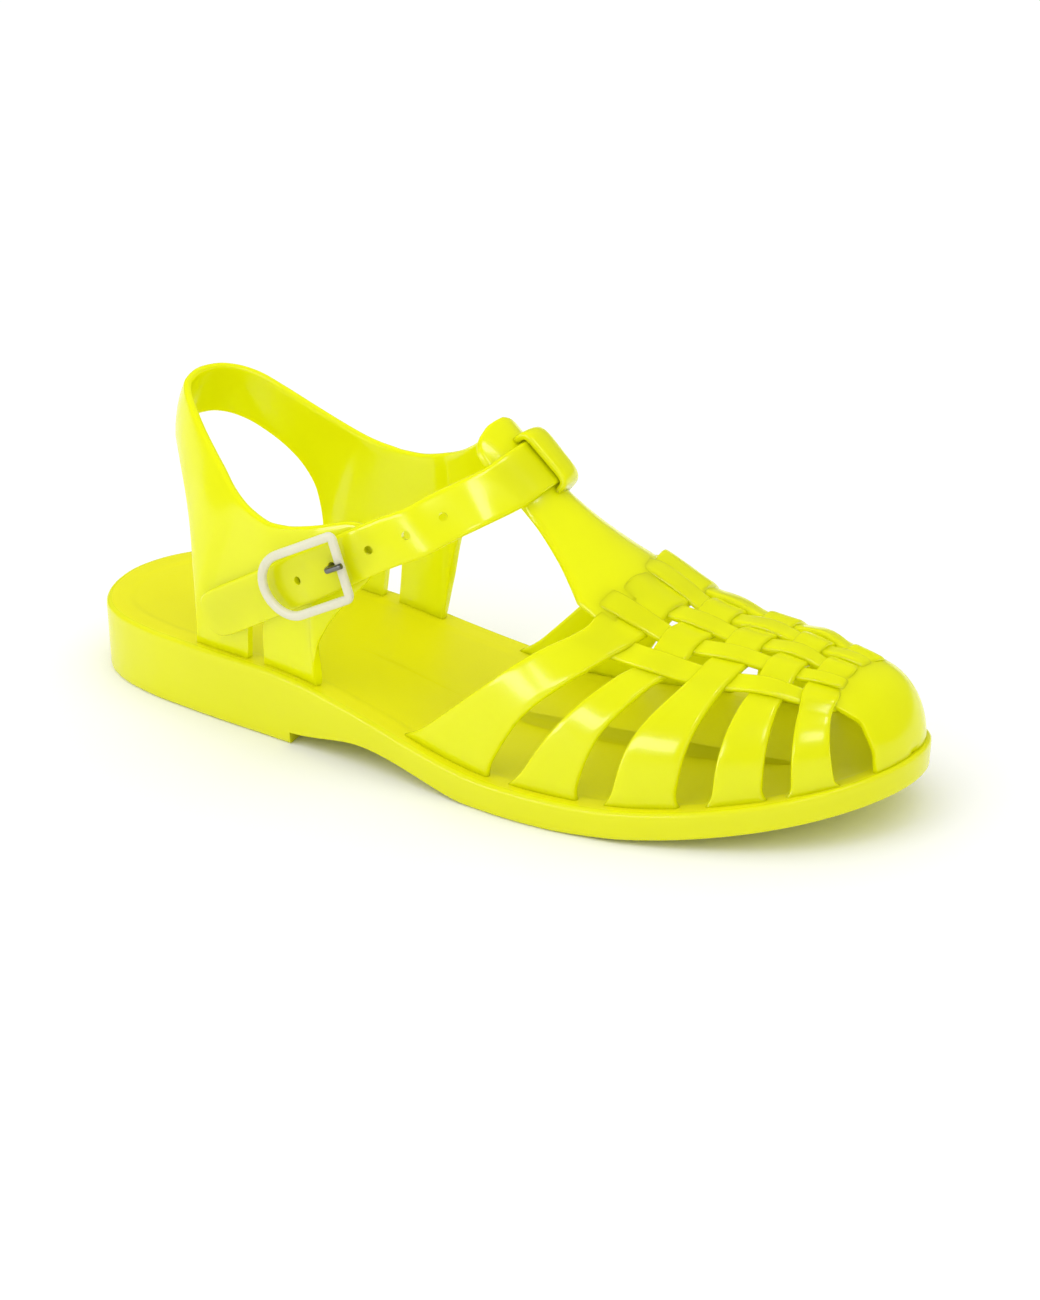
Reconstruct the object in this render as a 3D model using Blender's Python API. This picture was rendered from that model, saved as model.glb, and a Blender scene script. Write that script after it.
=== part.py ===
"""Moulded jelly sandal, right foot, standing empty.

The lengths below are millimetres and the mesh is built in metres.
+X points to the toe, +Y to the inner side of the foot, +Z up, and the origin lies on
the floor below the middle of the outsole.
"""
import math

import bmesh
import bpy
import numpy as np
from mathutils import Matrix, Vector

# Overall sizes
MM = 0.001
LENGTH = 250.0
BALL_WIDTH = 88.0
INSTEP_HEIGHT = 91.0
VAMP_HEIGHT = 64.0
CLEARANCE = 0.3

# Outsole sizes
HEEL_HEIGHT = 19.9
FORE_HEIGHT = 8.5
TOE_RISE = 11.5
TOE_SPRING = 12.0
ARCH_RISE = 6.5
BREAST_CURVE = 7.0
EDGE_ROUND = 1.1
WALL_DRAFT = 0.3
WELT_WIDTH = 5.6
FOOTBED_STEP = 8.5
FOOTBED_DEPTH = 1.6
FOOTBED_CUP = 1.0
SPINE_INSET = 24.0

# Upper sizes
FOOT_INSET = 3.0
TOE_INSET = 1.0
VAMP_WALL = 2.0
WEAVE_RISE = 1.2
WEAVE_SINK = 0.5
TOE_START = 0.86
TBAR_WIDTH = 21.0
TBAR_ARCH = 4.6
QUARTER_WALL = 2.2
QUARTER_BULGE = 1.6

# Strap, keeper and buckle sizes
STRAP_WIDTH = 13.5
STRAP_WALL = 2.0
STRAP_HOLE = 2.3
STRAP_LIFT = 0.4
TAIL_SLOPE = 0.575
KEEPER_WALL = 2.6
KEEPER_LEG = 2.4
KEEPER_SINK = 0.9
FRAME_LENGTH = 28.2
FRAME_SHIFT = -0.8
FRAME_TURN = 3.0
FRAME_WIDTH = 17.2
FRAME_CORNER = 2.0
FRAME_BAR = 2.5
FRAME_THICK = 1.9
PIN_WIDTH = 1.5
PIN_REACH = 6.8

# Outsole outline: station as a share of LENGTH from the heel, centre line and half
# width as shares of BALL_WIDTH
SOLE_ROWS = [
    (0.00, 0.082, 0.000), (0.05, 0.072, 0.290), (0.10, 0.061, 0.347),
    (0.15, 0.047, 0.367), (0.20, 0.026, 0.368), (0.25, 0.003, 0.363),
    (0.30, -0.016, 0.360), (0.35, -0.031, 0.362), (0.40, -0.040, 0.370),
    (0.50, -0.043, 0.407), (0.60, -0.032, 0.462), (0.65, -0.019, 0.486),
    (0.70, -0.003, 0.498), (0.75, 0.011, 0.494), (0.80, 0.026, 0.471),
    (0.85, 0.042, 0.433), (0.90, 0.058, 0.376), (0.94, 0.071, 0.307),
    (0.97, 0.080, 0.225), (0.99, 0.085, 0.133), (1.00, 0.086, 0.000),
]

# Stations of the outsole, as shares of LENGTH
HEEL_END = 0.29
WAIST_END = 0.61
TOE_BEGIN = 0.70
SPRING_BEGIN = 0.66
BREAST = 0.350
ARCH_TOP = 0.43
ARCH_END = 0.60

# Vamp: station, and height over the rim as a share of VAMP_HEIGHT
VAMP_ROWS = [
    (0.46, 1.150), (0.58, 1.000), (0.68, 0.775), (0.76, 0.611),
    (0.84, 0.526), (0.91, 0.465), (0.96, 0.490),
]

# Edges of the cross straps: stations at the shares of half girth in GIRTH_KNOTS
GIRTH_KNOTS = (0.0, 0.35, 0.50, 0.75, 1.0)
CROSS_EDGES = [
    (0.697, 0.692, 0.652, 0.575, 0.488), (0.738, 0.729, 0.703, 0.641, 0.592),
    (0.757, 0.752, 0.728, 0.679, 0.630), (0.785, 0.780, 0.762, 0.725, 0.701),
    (0.808, 0.806, 0.788, 0.758, 0.742), (0.836, 0.836, 0.828, 0.815, 0.807),
    (0.861, 0.860, 0.854, 0.847, 0.843), (0.885, 0.887, 0.889, 0.890, 0.890),
    (0.903, 0.906, 0.909, 0.914, 0.917), (0.928, 0.935, 0.940, 0.948, 0.955),
    (0.936, 0.941, 0.966, 0.979, 0.981),
]

# Edges of the lengthwise strips, as shares of half girth, outer side negative
STRIP_EDGES = [
    (-0.420, -0.335), (-0.260, -0.175), (-0.108, -0.012), (0.045, 0.140), (0.200, 0.295),
]
OUTER_SIDE = (-1.0, -0.90, -0.79, -0.67, -0.545)
INNER_SIDE = (0.42, 0.56, 0.70, 0.85, 1.0)
TOE_STEPS = (0.14, 0.30, 0.46, 0.62, 0.76, 0.87, 0.95, 1.0)

# T-bar from its tip down: station, height share of INSTEP_HEIGHT, centre as a share of
# BALL_WIDTH, half width as a share of half TBAR_WIDTH, arch as a share of TBAR_ARCH
TBAR_ROWS = [
    (0.5230, 1.000, -0.022, 0.40, 0.15), (0.5262, 0.994, -0.022, 0.68, 0.38),
    (0.5320, 0.981, -0.022, 0.88, 0.66), (0.5400, 0.962, -0.021, 0.97, 0.88),
    (0.5505, 0.934, -0.017, 1.00, 0.98), (0.5690, 0.880, -0.009, 0.94, 1.00),
    (0.5870, 0.827, -0.002, 0.89, 1.00), (0.5980, 0.799, -0.002, 0.92, 0.96),
    (0.6140, 0.765, -0.006, 1.02, 0.92), (0.6360, 0.722, -0.013, 1.22, 0.92),
    (0.6600, 0.679, -0.024, 1.51, 0.96), (0.6790, 0.646, -0.033, 1.78, 1.00),
]
STRAP_ON_TBAR = 0.5690
TBAR_LEAN = 0.70

# Sling and quarter: upper edge (station, height, offset), lower edge (station, height,
# offset); heights are shares of INSTEP_HEIGHT and offsets from the centre line shares
# of BALL_WIDTH
SLING_ROWS = [
    (0.126, 0.940, 0.000, 0.106, 0.786, 0.000), (0.131, 0.935, 0.072, 0.110, 0.781, 0.070),
    (0.143, 0.922, 0.126, 0.120, 0.768, 0.123), (0.160, 0.899, 0.170, 0.134, 0.743, 0.168),
    (0.182, 0.858, 0.212, 0.151, 0.701, 0.214), (0.211, 0.810, 0.250, 0.170, 0.643, 0.262),
    (0.232, 0.777, 0.275, 0.186, 0.571, 0.302), (0.248, 0.751, 0.298, 0.196, 0.484, 0.330),
    (0.264, 0.729, 0.317, 0.200, 0.363, 0.341),
]
LEG_TOPS = [
    (0.278, 0.714, 0.331), (0.292, 0.704, 0.342), (0.304, 0.698, 0.351),
    (0.318, 0.693, 0.357), (0.340, 0.696, 0.357), (0.364, 0.709, 0.354),
]
OUTER_FEET = (0.192, 0.232, 0.268, 0.292, 0.328, 0.365)
INNER_FEET = (0.196, 0.248, 0.296, 0.316, 0.345, 0.378)
OUTER_FRONT = [
    (0.388, 0.727, 0.351, 0.374, 0.330, 0.348), (0.408, 0.745, 0.346, 0.391, 0.418, 0.350),
    (0.426, 0.755, 0.341, 0.417, 0.509, 0.345), (0.441, 0.750, 0.336, 0.444, 0.588, 0.338),
    (0.450, 0.725, 0.333, 0.453, 0.630, 0.334),
]
INNER_FRONT = [
    (0.380, 0.721, 0.356, 0.385, 0.308, 0.341), (0.394, 0.736, 0.346, 0.392, 0.407, 0.346),
    (0.410, 0.758, 0.327, 0.403, 0.500, 0.351), (0.428, 0.789, 0.300, 0.424, 0.588, 0.350),
    (0.450, 0.829, 0.266, 0.460, 0.672, 0.318),
]
SLOT_TOP = 0.55

# Strap centre line: station, side as a share of BALL_WIDTH, height share of
# INSTEP_HEIGHT, and the direction across the strap
INNER_RUN = [
    (0.496, 0.207, 0.797, (6.3, 3.2, -11.6)), (0.530, 0.152, 0.838, (8.0, 3.0, -10.6)),
]
TOP_SHARES = (1.12, 0.90, 0.65, 0.40, 0.15, -0.10, -0.40, -0.70, -0.95, -1.12)
KEEPER_SHARES = TOP_SHARES[1:6][::-1]
OUTER_RUN = [
    (0.540, -0.233, 0.823, (8.5, -1.6, -10.3)), (0.516, -0.306, 0.787, (7.2, -1.8, -10.9)),
    (0.496, -0.355, 0.751, (6.6, -1.0, -11.2)), (0.470, -0.388, 0.719, (6.5, -0.3, -11.3)),
]
TAIL_STATIONS = (0.446, 0.437, 0.428, 0.416, 0.404, 0.390, 0.376, 0.360, 0.345, 0.330,
                 0.315, 0.300, 0.285, 0.270, 0.255, 0.243, 0.234, 0.228, 0.2225)
TAIL_WIDTHS = (1.0,) * 15 + (0.985, 0.93, 0.82, 0.50)
TAIL_HEIGHT = 0.685
TAIL_HOLES = (0.518, 0.488, 0.4515, 0.366, 0.411)
FRAME_STATION = 0.4275

ACROSS = (0.0, 0.14, 0.28, 0.42, SLOT_TOP, 0.78, 1.0)


def clear_scene():
    """Remove the objects that the scene opens with."""
    for obj in list(bpy.data.objects):
        bpy.data.objects.remove(obj, do_unlink=True)


def smooth(xs, ys, x):
    """Monotone cubic through the points (xs, ys), evaluated at x."""
    xs, ys, x = (np.asarray(v, float) for v in (xs, ys, x))
    step = np.diff(xs)
    rise = np.diff(ys) / step
    slope = np.zeros(len(xs))
    for k in range(1, len(xs) - 1):
        if rise[k - 1] * rise[k] > 0:
            slope[k] = 2.0 / (1.0 / rise[k - 1] + 1.0 / rise[k])
    slope[0], slope[-1] = rise[0], rise[-1]
    k = np.clip(np.searchsorted(xs, x) - 1, 0, len(xs) - 2)
    t = (x - xs[k]) / step[k]
    return ((1 + 2 * t) * (1 - t) ** 2 * ys[k] + t * (1 - t) ** 2 * step[k] * slope[k]
            + t * t * (3 - 2 * t) * ys[k + 1] + t * t * (t - 1) * step[k] * slope[k + 1])


def ease(t):
    """Smooth step from 0 to 1."""
    t = np.clip(t, 0.0, 1.0)
    return t * t * (3 - 2 * t)


def to_x(share):
    """Station as a share of LENGTH to a position along X."""
    return (share - 0.5) * LENGTH


def sole_outline(count=44):
    """Closed outline of the outsole, outer side first from heel to toe."""
    share, centre, half = (np.array(c) for c in zip(*SOLE_ROWS))
    knots = np.arccos(1 - 2 * share)
    turn = np.linspace(0, math.pi, count + 1)
    width = smooth(knots, half, turn) * BALL_WIDTH
    middle = smooth(knots, centre, turn) * BALL_WIDTH
    x = to_x((1 - np.cos(turn)) / 2)
    outer = np.c_[x, middle - width]
    inner = np.c_[x, middle + width][1:-1][::-1]
    loop = np.vstack([outer, inner])
    loop[:, 1] -= (loop[:, 1].max() + loop[:, 1].min()) / 2
    return loop


def inset(loop, distance):
    """Outline moved inwards by a distance."""
    along = np.roll(loop, -1, 0) - np.roll(loop, 1, 0)
    along /= np.linalg.norm(along, axis=1)[:, None]
    return loop + np.c_[-along[:, 1], along[:, 0]] * distance


FINE = sole_outline(240)


def side_lines(distance):
    """Both sides of the outline inset by a distance, as functions of x."""
    loop = inset(FINE, distance)
    tip = 240
    return loop[:tip + 1], np.vstack([loop[tip:], loop[:1]])[::-1]


SIDES = {}


def sides_at(x, distance):
    """Outer and inner Y of the outline inset by a distance, at x."""
    key = round(distance, 3)
    if key not in SIDES:
        SIDES[key] = side_lines(distance)
    outer, inner = SIDES[key]
    return np.interp(x, outer[:, 0], outer[:, 1]), np.interp(x, inner[:, 0], inner[:, 1])


def centre_at(x):
    """Centre line of the outsole at x."""
    outer, inner = sides_at(x, 0.0)
    return (outer + inner) / 2


def rim_z(x):
    """Height of the outsole's rim at x."""
    s = np.asarray(x) / LENGTH + 0.5
    fall = ease((s - HEEL_END) / (WAIST_END - HEEL_END))
    rise = np.clip((s - TOE_BEGIN) / (1 - TOE_BEGIN), 0, None) ** 2
    return HEEL_HEIGHT + (FORE_HEIGHT - HEEL_HEIGHT) * fall + TOE_RISE * rise


def floor_z(x):
    """Height of the outsole's underside, with its toe spring."""
    s = np.asarray(x) / LENGTH + 0.5
    return TOE_SPRING * np.clip((s - SPRING_BEGIN) / (1 - SPRING_BEGIN), 0, None) ** 2


def add_mesh(name, verts, faces):
    """New object from points in millimetres, with its faces turned outwards."""
    mesh = bpy.data.meshes.new(name)
    bm = bmesh.new()
    made = [bm.verts.new(Vector(v) * MM) for v in verts]
    for face in faces:
        bm.faces.new([made[k] for k in face])
    bmesh.ops.remove_doubles(bm, verts=bm.verts, dist=1e-6)
    bmesh.ops.recalc_face_normals(bm, faces=bm.faces)
    bm.to_mesh(mesh)
    bm.free()
    obj = bpy.data.objects.new(name, mesh)
    return obj


def paint(obj, colour, roughness, metallic):
    """Give an object its own Principled material."""
    material = bpy.data.materials.new(obj.name + "_finish")
    material.use_nodes = True
    shader = material.node_tree.nodes["Principled BSDF"]
    shader.inputs["Base Color"].default_value = (*colour, 1.0)
    shader.inputs["Roughness"].default_value = roughness
    shader.inputs["Metallic"].default_value = metallic
    obj.data.materials.clear()
    obj.data.materials.append(material)


def boolean(obj, other, operation):
    """Add an exact boolean with another object."""
    modifier = obj.modifiers.new(operation.lower(), "BOOLEAN")
    modifier.operation = operation
    modifier.solver = "EXACT"
    modifier.object = other


def as_cutter(obj, cutters):
    """Keep an object as a hidden cutter."""
    cutters.objects.link(obj)
    obj.hide_render = True
    obj.display_type = "WIRE"


def build_outsole(parts, cutters):
    """Outsole from rings of the outline, with the arch cut from below."""
    loop = sole_outline()
    count = len(loop)
    rings = [
        (SPINE_INSET, 0.0, 0), (WALL_DRAFT + 1.3 * EDGE_ROUND, 0.0, 0),
        (WALL_DRAFT + 0.3 * EDGE_ROUND, EDGE_ROUND * 0.35, 0),
        (WALL_DRAFT, EDGE_ROUND * 1.3, 0), (0.0, -EDGE_ROUND, 1),
        (EDGE_ROUND * 0.3, -0.3 * EDGE_ROUND, 1), (EDGE_ROUND, 0.0, 1),
        (WELT_WIDTH, 0.0, 1), (FOOTBED_STEP, -FOOTBED_DEPTH, 1),
        (SPINE_INSET, -FOOTBED_DEPTH - FOOTBED_CUP, 1),
    ]
    verts = []
    for distance, lift, top in rings:
        ring = inset(loop, distance)
        if distance == SPINE_INSET:
            spine = np.clip(loop[:, 0], to_x(0.12), to_x(0.88))
            share = distance / (0.5 * BALL_WIDTH)
            ring = loop + (np.c_[spine, centre_at(spine)] - loop) * share
        z = (rim_z(ring[:, 0]) if top else floor_z(ring[:, 0])) + lift
        verts += [(x, y, h) for (x, y), h in zip(ring, z)]
    faces = []
    for r in range(len(rings) - 1):
        for k in range(count):
            n = (k + 1) % count
            faces.append((r * count + k, r * count + n, (r + 1) * count + n, (r + 1) * count + k))
    for base in (0, (len(rings) - 1) * count):
        half = count // 2
        faces.append((base + half - 1, base + half, base + half + 1))
        faces.append((base, base + 1, base + count - 1))
        for k in range(1, half - 1):
            faces.append((base + k, base + k + 1, base + count - k - 1, base + count - k))
    sole = add_mesh("outsole", verts, faces)
    parts.objects.link(sole)

    columns = 8
    arch = [(BREAST, -4.0)] + [
        (BREAST + (ARCH_TOP - BREAST) * t, ARCH_RISE * (0.55 + 0.45 * ease(t)))
        for t in (0.0, 0.25, 0.5, 0.75, 1.0)
    ] + [
        (ARCH_TOP + (ARCH_END - ARCH_TOP) * t, ARCH_RISE * (1 - ease(t)))
        for t in (0.2, 0.4, 0.6, 0.8)
    ] + [(ARCH_END, -0.2), (ARCH_END, -4.0)]
    verts = []
    for k in range(columns + 1):
        side = 2.0 * k / columns - 1.0
        bend = BREAST_CURVE * (1 - side * side)
        for n, (s, z) in enumerate(arch):
            shift = bend * max(0.0, 1.0 - (s - BREAST) / (ARCH_TOP - BREAST))
            verts.append((to_x(s) - shift, side * BALL_WIDTH * 0.62, z))
    rows = len(arch)
    faces = [tuple(range(rows)), tuple(range(columns * rows, (columns + 1) * rows))]
    for k in range(columns):
        for n in range(rows):
            m = (n + 1) % rows
            faces.append((k * rows + n, k * rows + m, (k + 1) * rows + m, (k + 1) * rows + n))
    cutter = add_mesh("arch_cutter", verts, faces)
    as_cutter(cutter, cutters)
    boolean(sole, cutter, "DIFFERENCE")
    paint(sole, (0.80, 0.82, 0.004), 0.22, 0.0)
    return sole


def vamp_point(share, girth, depth):
    """Point of the vamp at a station and a share of half girth, sunk by a depth."""
    start = to_x(TOE_START)
    reach = LENGTH / 2 - TOE_INSET - start
    x = to_x(share)
    if x > start:
        x = start + (x - start) * (reach - depth) / reach
    foot = FOOT_INSET + (TOE_INSET - FOOT_INSET) * float(ease((share - 0.87) / 0.11))
    outer, inner = sides_at(x, foot + depth)
    table = np.array(VAMP_ROWS)
    height = smooth(table[:, 0], table[:, 1], share) * VAMP_HEIGHT - depth
    close = min(1.0, max(0.0, (x - start) / (reach - depth)))
    height *= (1 - close ** 1.8) ** (1 / 1.8)
    width = (inner - outer) / 2
    turn = np.linspace(0, math.pi / 2, 31)
    across = np.sin(turn) ** 0.84 * max(width, 0.0)
    up = np.cos(turn) ** 0.84 * height
    run = np.r_[0, np.cumsum(np.hypot(np.diff(across), np.diff(up)))]
    run /= max(run[-1], 1e-9)
    y = np.interp(abs(girth), run, across)
    z = np.interp(abs(girth), run, up)
    return (x, (inner + outer) / 2 + math.copysign(y, girth), rim_z(x) + CLEARANCE + z)


def edge_station(row, girth):
    """Station of a cross strap's edge at a share of half girth."""
    return float(smooth(GIRTH_KNOTS, row, abs(girth)))


def tbar_frame(station):
    """Ridge point, normal, centre, half width and arch of the T-bar at a station."""
    table = np.array(TBAR_ROWS)
    s, h, c, w, a = (smooth(table[:, 0], table[:, k], station) for k in range(5))
    step = 0.004
    rise = (smooth(table[:, 0], table[:, 1], station + step)
            - smooth(table[:, 0], table[:, 1], station - step)) * INSTEP_HEIGHT
    slope = Vector((2 * step * LENGTH, 0.0, float(rise))).normalized()
    normal = Vector((-slope.z, 0.0, slope.x))
    ridge = Vector((to_x(station), float(c) * BALL_WIDTH, float(h) * INSTEP_HEIGHT))
    return ridge, normal, float(w) * TBAR_WIDTH / 2, float(a) * TBAR_ARCH


def tbar_point(station, share, depth):
    """Point of the T-bar at a station and a share of its half width."""
    ridge, normal, half, arch = tbar_frame(station)
    point = ridge - normal * (arch * share * share + depth)
    point.y += share * half
    return point


def tbar_over(station, share, height):
    """Point over the T-bar at a height measured square to its arched surface."""
    _, _, half, arch = tbar_frame(station)
    steep = math.hypot(1.0, 2.0 * arch * share / half)
    return tbar_point(station, share, -height * steep)


def lattice(name, inner, low, high, cells):
    """Closed solid from grid cells that have a low or high outer level at each corner.

    cells maps (row, column) to the levels of its corners in the order
    (row, column), (row, column + 1), (row + 1, column + 1), (row + 1, column).
    """
    grids = {"in": inner, "lo": low, "hi": high}
    verts, index, faces = [], {}, []

    def vert(level, corner):
        key = (level,) + corner
        if key not in index:
            index[key] = len(verts)
            verts.append(grids[level][corner[0]][corner[1]])
        return index[key]

    def corners(cell):
        r, c = cell
        return [(r, c), (r, c + 1), (r + 1, c + 1), (r + 1, c)]

    edges = {}
    for cell, levels in cells.items():
        points = corners(cell)
        faces.append([vert(level, p) for level, p in zip(levels, points)])
        faces.append([vert("in", p) for p in reversed(points)])
        for k in range(4):
            a, b = points[k], points[(k + 1) % 4]
            tops = {a: levels[k], b: levels[(k + 1) % 4]}
            edges.setdefault(tuple(sorted((a, b))), []).append(tops)
    for (a, b), uses in edges.items():
        if len(uses) == 1:
            faces.append([vert("in", a), vert("in", b), vert("lo", b), vert("lo", a)])
            uses = uses + [{a: "lo", b: "lo"}]
        loop = [vert(uses[0][a], a), vert(uses[0][b], b), vert(uses[1][b], b), vert(uses[1][a], a)]
        loop = [v for k, v in enumerate(loop) if v != loop[k - 1]]
        if len(loop) > 2:
            faces.append(loop)
    return add_mesh(name, verts, faces)


def vamp_cells(tbar_rows, columns):
    """Cells of the cage: which rows and columns are solid, and their levels."""
    kinds = ["side"] * len(OUTER_SIDE)
    for k in range(len(STRIP_EDGES)):
        kinds += [k + 1, "gap"]
    kinds = kinds[:-1] + ["side"] * len(INNER_SIDE)
    rows = ["tbar"] * tbar_rows
    for k in range(5):
        rows += [k + 1, "gap"]
    rows += ["toe"] * len(TOE_STEPS)
    first = kinds.index("gap")
    last = len(kinds) - 1 - kinds[::-1].index("gap")

    def over(strap, strip):
        return (strap + strip) % 2 == 0

    cells = {}
    last_gap = tbar_rows + 9
    for r, row in enumerate(rows):
        for c, kind in enumerate(kinds):
            up, down = ["lo", "lo"], ["lo", "lo"]
            if row == "tbar":
                if not first <= c <= last:
                    continue
                if r == tbar_rows - 1 and isinstance(kind, int) and not over(1, kind):
                    down = ["hi", "hi"]
            elif isinstance(row, int):
                if isinstance(kind, int):
                    up = down = ["hi", "hi"]
                else:
                    sides = [kinds[c - 1] if c else "side", kinds[(c + 1) % len(kinds)]]
                    up = down = ["hi" if isinstance(k, int) and over(row, k) else "lo"
                                 for k in sides]
            elif row == "gap":
                before, after = rows[r - 1], rows[r + 1]
                if isinstance(kind, int):
                    if not over(before, kind):
                        up = ["hi", "hi"]
                    if isinstance(after, int) and not over(after, kind):
                        down = ["hi", "hi"]
                elif r != last_gap or kind == "side":
                    continue
            cells[(r, c)] = (up[0], up[1], down[1], down[0])
    return cells


def build_vamp(parts, cutters):
    """Woven cage, toe cap and T-bar as one shell, joined with the keeper."""
    lines = list(OUTER_SIDE) + [q for pair in STRIP_EDGES for q in pair] + list(INNER_SIDE)
    start = STRIP_EDGES[0][1]
    stop = STRIP_EDGES[-1][0]
    middle, reach = (start + stop) / 2, (stop - start) / 2
    tip = 1 - TOE_INSET / LENGTH
    stations = [row[0] for row in TBAR_ROWS]
    levels = []
    for depth in (VAMP_WALL + WEAVE_SINK, WEAVE_SINK, WEAVE_SINK - WEAVE_RISE):
        grid = []
        for station in stations:
            grid.append([tbar_point(station, max(-1.0, min(1.0, (q - middle) / reach)),
                                    depth - WEAVE_SINK) for q in lines])
        for row in CROSS_EDGES:
            grid.append([vamp_point(edge_station(row, q), q, depth) for q in lines])
        for step in TOE_STEPS:
            cap = CROSS_EDGES[-1]
            grid.append([vamp_point(edge_station(cap, q) + step * (tip - edge_station(cap, q)),
                                    q, depth) for q in lines])
        levels.append(grid)
    vamp = lattice("upper_vamp", *levels, vamp_cells(len(stations), len(lines)))
    parts.objects.link(vamp)

    ridge_top = STRAP_ON_TBAR
    half = (STRAP_WIDTH / 2 + 2 * CLEARANCE) / LENGTH * TBAR_LEAN
    leg = KEEPER_LEG / LENGTH * TBAR_LEAN
    lift = STRAP_LIFT + STRAP_WALL + 1.5 * CLEARANCE
    crown = lift + KEEPER_WALL
    path = [(half + leg, -KEEPER_SINK, half, -KEEPER_SINK), (half + leg, 0.75 * lift, half, 0.6 * lift),
            (half + 0.5 * leg, lift + 0.75 * KEEPER_WALL, half, lift), (half * 0.6, crown, half * 0.6, lift)]
    path = [(-a, b, -c, d) for a, b, c, d in path] + [(0.0, crown, 0.0, lift)] + path[::-1]
    shares = KEEPER_SHARES
    outside = [[tbar_over(ridge_top + p[0], u, p[1]) for u in shares] for p in path]
    inside = [[tbar_over(ridge_top + p[2], u, p[3]) for u in shares] for p in path]
    cells = {(r, c): ("lo",) * 4 for r in range(len(path) - 1) for c in range(len(shares) - 1)}
    keeper = lattice("keeper_join", inside, outside, outside, cells)
    as_cutter(keeper, cutters)
    boolean(vamp, keeper, "UNION")
    paint(vamp, (0.84, 0.86, 0.004), 0.16, 0.0)
    return vamp


def quarter_section(row, side):
    """Upper and lower edge point of a quarter row on one side of the centre line."""
    upper, lower = row[:3], row[3:]
    ends = []
    for s, h, w in (upper, lower):
        x = to_x(s)
        ends.append(Vector((x, centre_at(x) + side * w * BALL_WIDTH, h * INSTEP_HEIGHT)))
    return ends


def leg_section(top, foot, side):
    """Row of a quarter leg, from the collar down to the outsole's rim."""
    upper, _ = quarter_section(top + top, side)
    x = to_x(foot)
    outer, inner = sides_at(x, FOOT_INSET + QUARTER_WALL / 2)
    return upper, Vector((x, outer if side < 0 else inner, rim_z(x) + CLEARANCE))


def strap_section(centre, across, width):
    """Two edge points of the strap around its centre."""
    half = Vector(across).normalized() * width / 2
    return centre - half, centre + half


def wall_y(grid, x, z):
    """Y of the outer quarter's centre surface at x and z."""
    best, nearest = None, None
    for r in range(len(grid) - 1):
        for c in range(len(grid[0]) - 1):
            p, q, m, n = grid[r][c], grid[r][c + 1], grid[r + 1][c + 1], grid[r + 1][c]
            gap = (p.x - x) ** 2 + (p.z - z) ** 2
            if nearest is None or gap < nearest[0]:
                nearest = (gap, p.y)
            for a, b, d in ((p, q, m), (p, m, n)):
                area = (b.x - a.x) * (d.z - a.z) - (d.x - a.x) * (b.z - a.z)
                if abs(area) < 1e-9:
                    continue
                u = ((x - a.x) * (d.z - a.z) - (d.x - a.x) * (z - a.z)) / area
                v = ((b.x - a.x) * (z - a.z) - (x - a.x) * (b.z - a.z)) / area
                if u >= -1e-6 and v >= -1e-6 and u + v <= 1 + 1e-6:
                    y = a.y + u * (b.y - a.y) + v * (d.y - a.y)
                    best = y if best is None else min(best, y)
    return nearest[1] if best is None else best


def quarter_rows():
    """Sections of the moulded ribbon: outer quarter, sling, inner quarter, strap."""
    outer, inner = [], []
    for row in SLING_ROWS:
        swell = QUARTER_BULGE * ease((row[5] - 0.20) / 0.13)
        outer.append((*quarter_section(row, -1), float(swell)))
        inner.append((*quarter_section(row, 1), float(swell)))
    for k, top in enumerate(LEG_TOPS):
        outer.append((*leg_section(top, OUTER_FEET[k], -1), QUARTER_BULGE))
        inner.append((*leg_section(top, INNER_FEET[k], 1), QUARTER_BULGE))
    for k, row in enumerate(OUTER_FRONT):
        outer.append((*quarter_section(row, -1), QUARTER_BULGE * (1 - 0.2 * k)))
    for k, row in enumerate(INNER_FRONT):
        inner.append((*quarter_section(row, 1), QUARTER_BULGE * (0.8 - 0.2 * k)))
    strap = []
    for s, w, h, across in INNER_RUN:
        strap.append((*strap_section(Vector((to_x(s), w * BALL_WIDTH, h * INSTEP_HEIGHT)),
                                     across, STRAP_WIDTH), 0.0))
    lift = STRAP_LIFT + STRAP_WALL / 2
    for share in TOP_SHARES:
        spread = STRAP_WIDTH / 2 / LENGTH * TBAR_LEAN
        ends = [tbar_over(STRAP_ON_TBAR + d * spread, share, lift) for d in (-1, 1)]
        strap.append((*ends, 0.0))
    for s, w, h, across in OUTER_RUN:
        strap.append((*strap_section(Vector((to_x(s), w * BALL_WIDTH, h * INSTEP_HEIGHT)),
                                     across, STRAP_WIDTH), 0.0))
    slope = Vector((1.0, 0.0, TAIL_SLOPE)).normalized()
    across = Vector((slope.z, 0.0, -slope.x))
    for s, width in zip(TAIL_STATIONS, TAIL_WIDTHS):
        x = to_x(s)
        z = TAIL_HEIGHT * INSTEP_HEIGHT + (x - to_x(TAIL_STATIONS[0])) * TAIL_SLOPE
        strap.append((*strap_section(Vector((x, 0.0, z)), across, STRAP_WIDTH * width), 0.0))
    return outer, inner, strap


def ribbon_grid(sections, outward):
    """Centre surface of a ribbon as rows of points."""
    grid = []
    for upper, lower, bulge in sections:
        row = []
        for v in ACROSS:
            point = upper.lerp(lower, v)
            row.append(point + outward(point) * (bulge * 4 * v * (1 - v)))
        grid.append(row)
    return grid


def offset_grid(grid, distance):
    """Grid moved along its own normals by a distance."""
    rows, cols = len(grid), len(grid[0])
    moved = []
    for r in range(rows):
        line = []
        for c in range(cols):
            along = grid[min(r + 1, rows - 1)][c] - grid[max(r - 1, 0)][c]
            across = grid[r][min(c + 1, cols - 1)] - grid[r][max(c - 1, 0)]
            line.append(grid[r][c] + along.cross(across).normalized() * distance)
        moved.append(line)
    return moved


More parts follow.
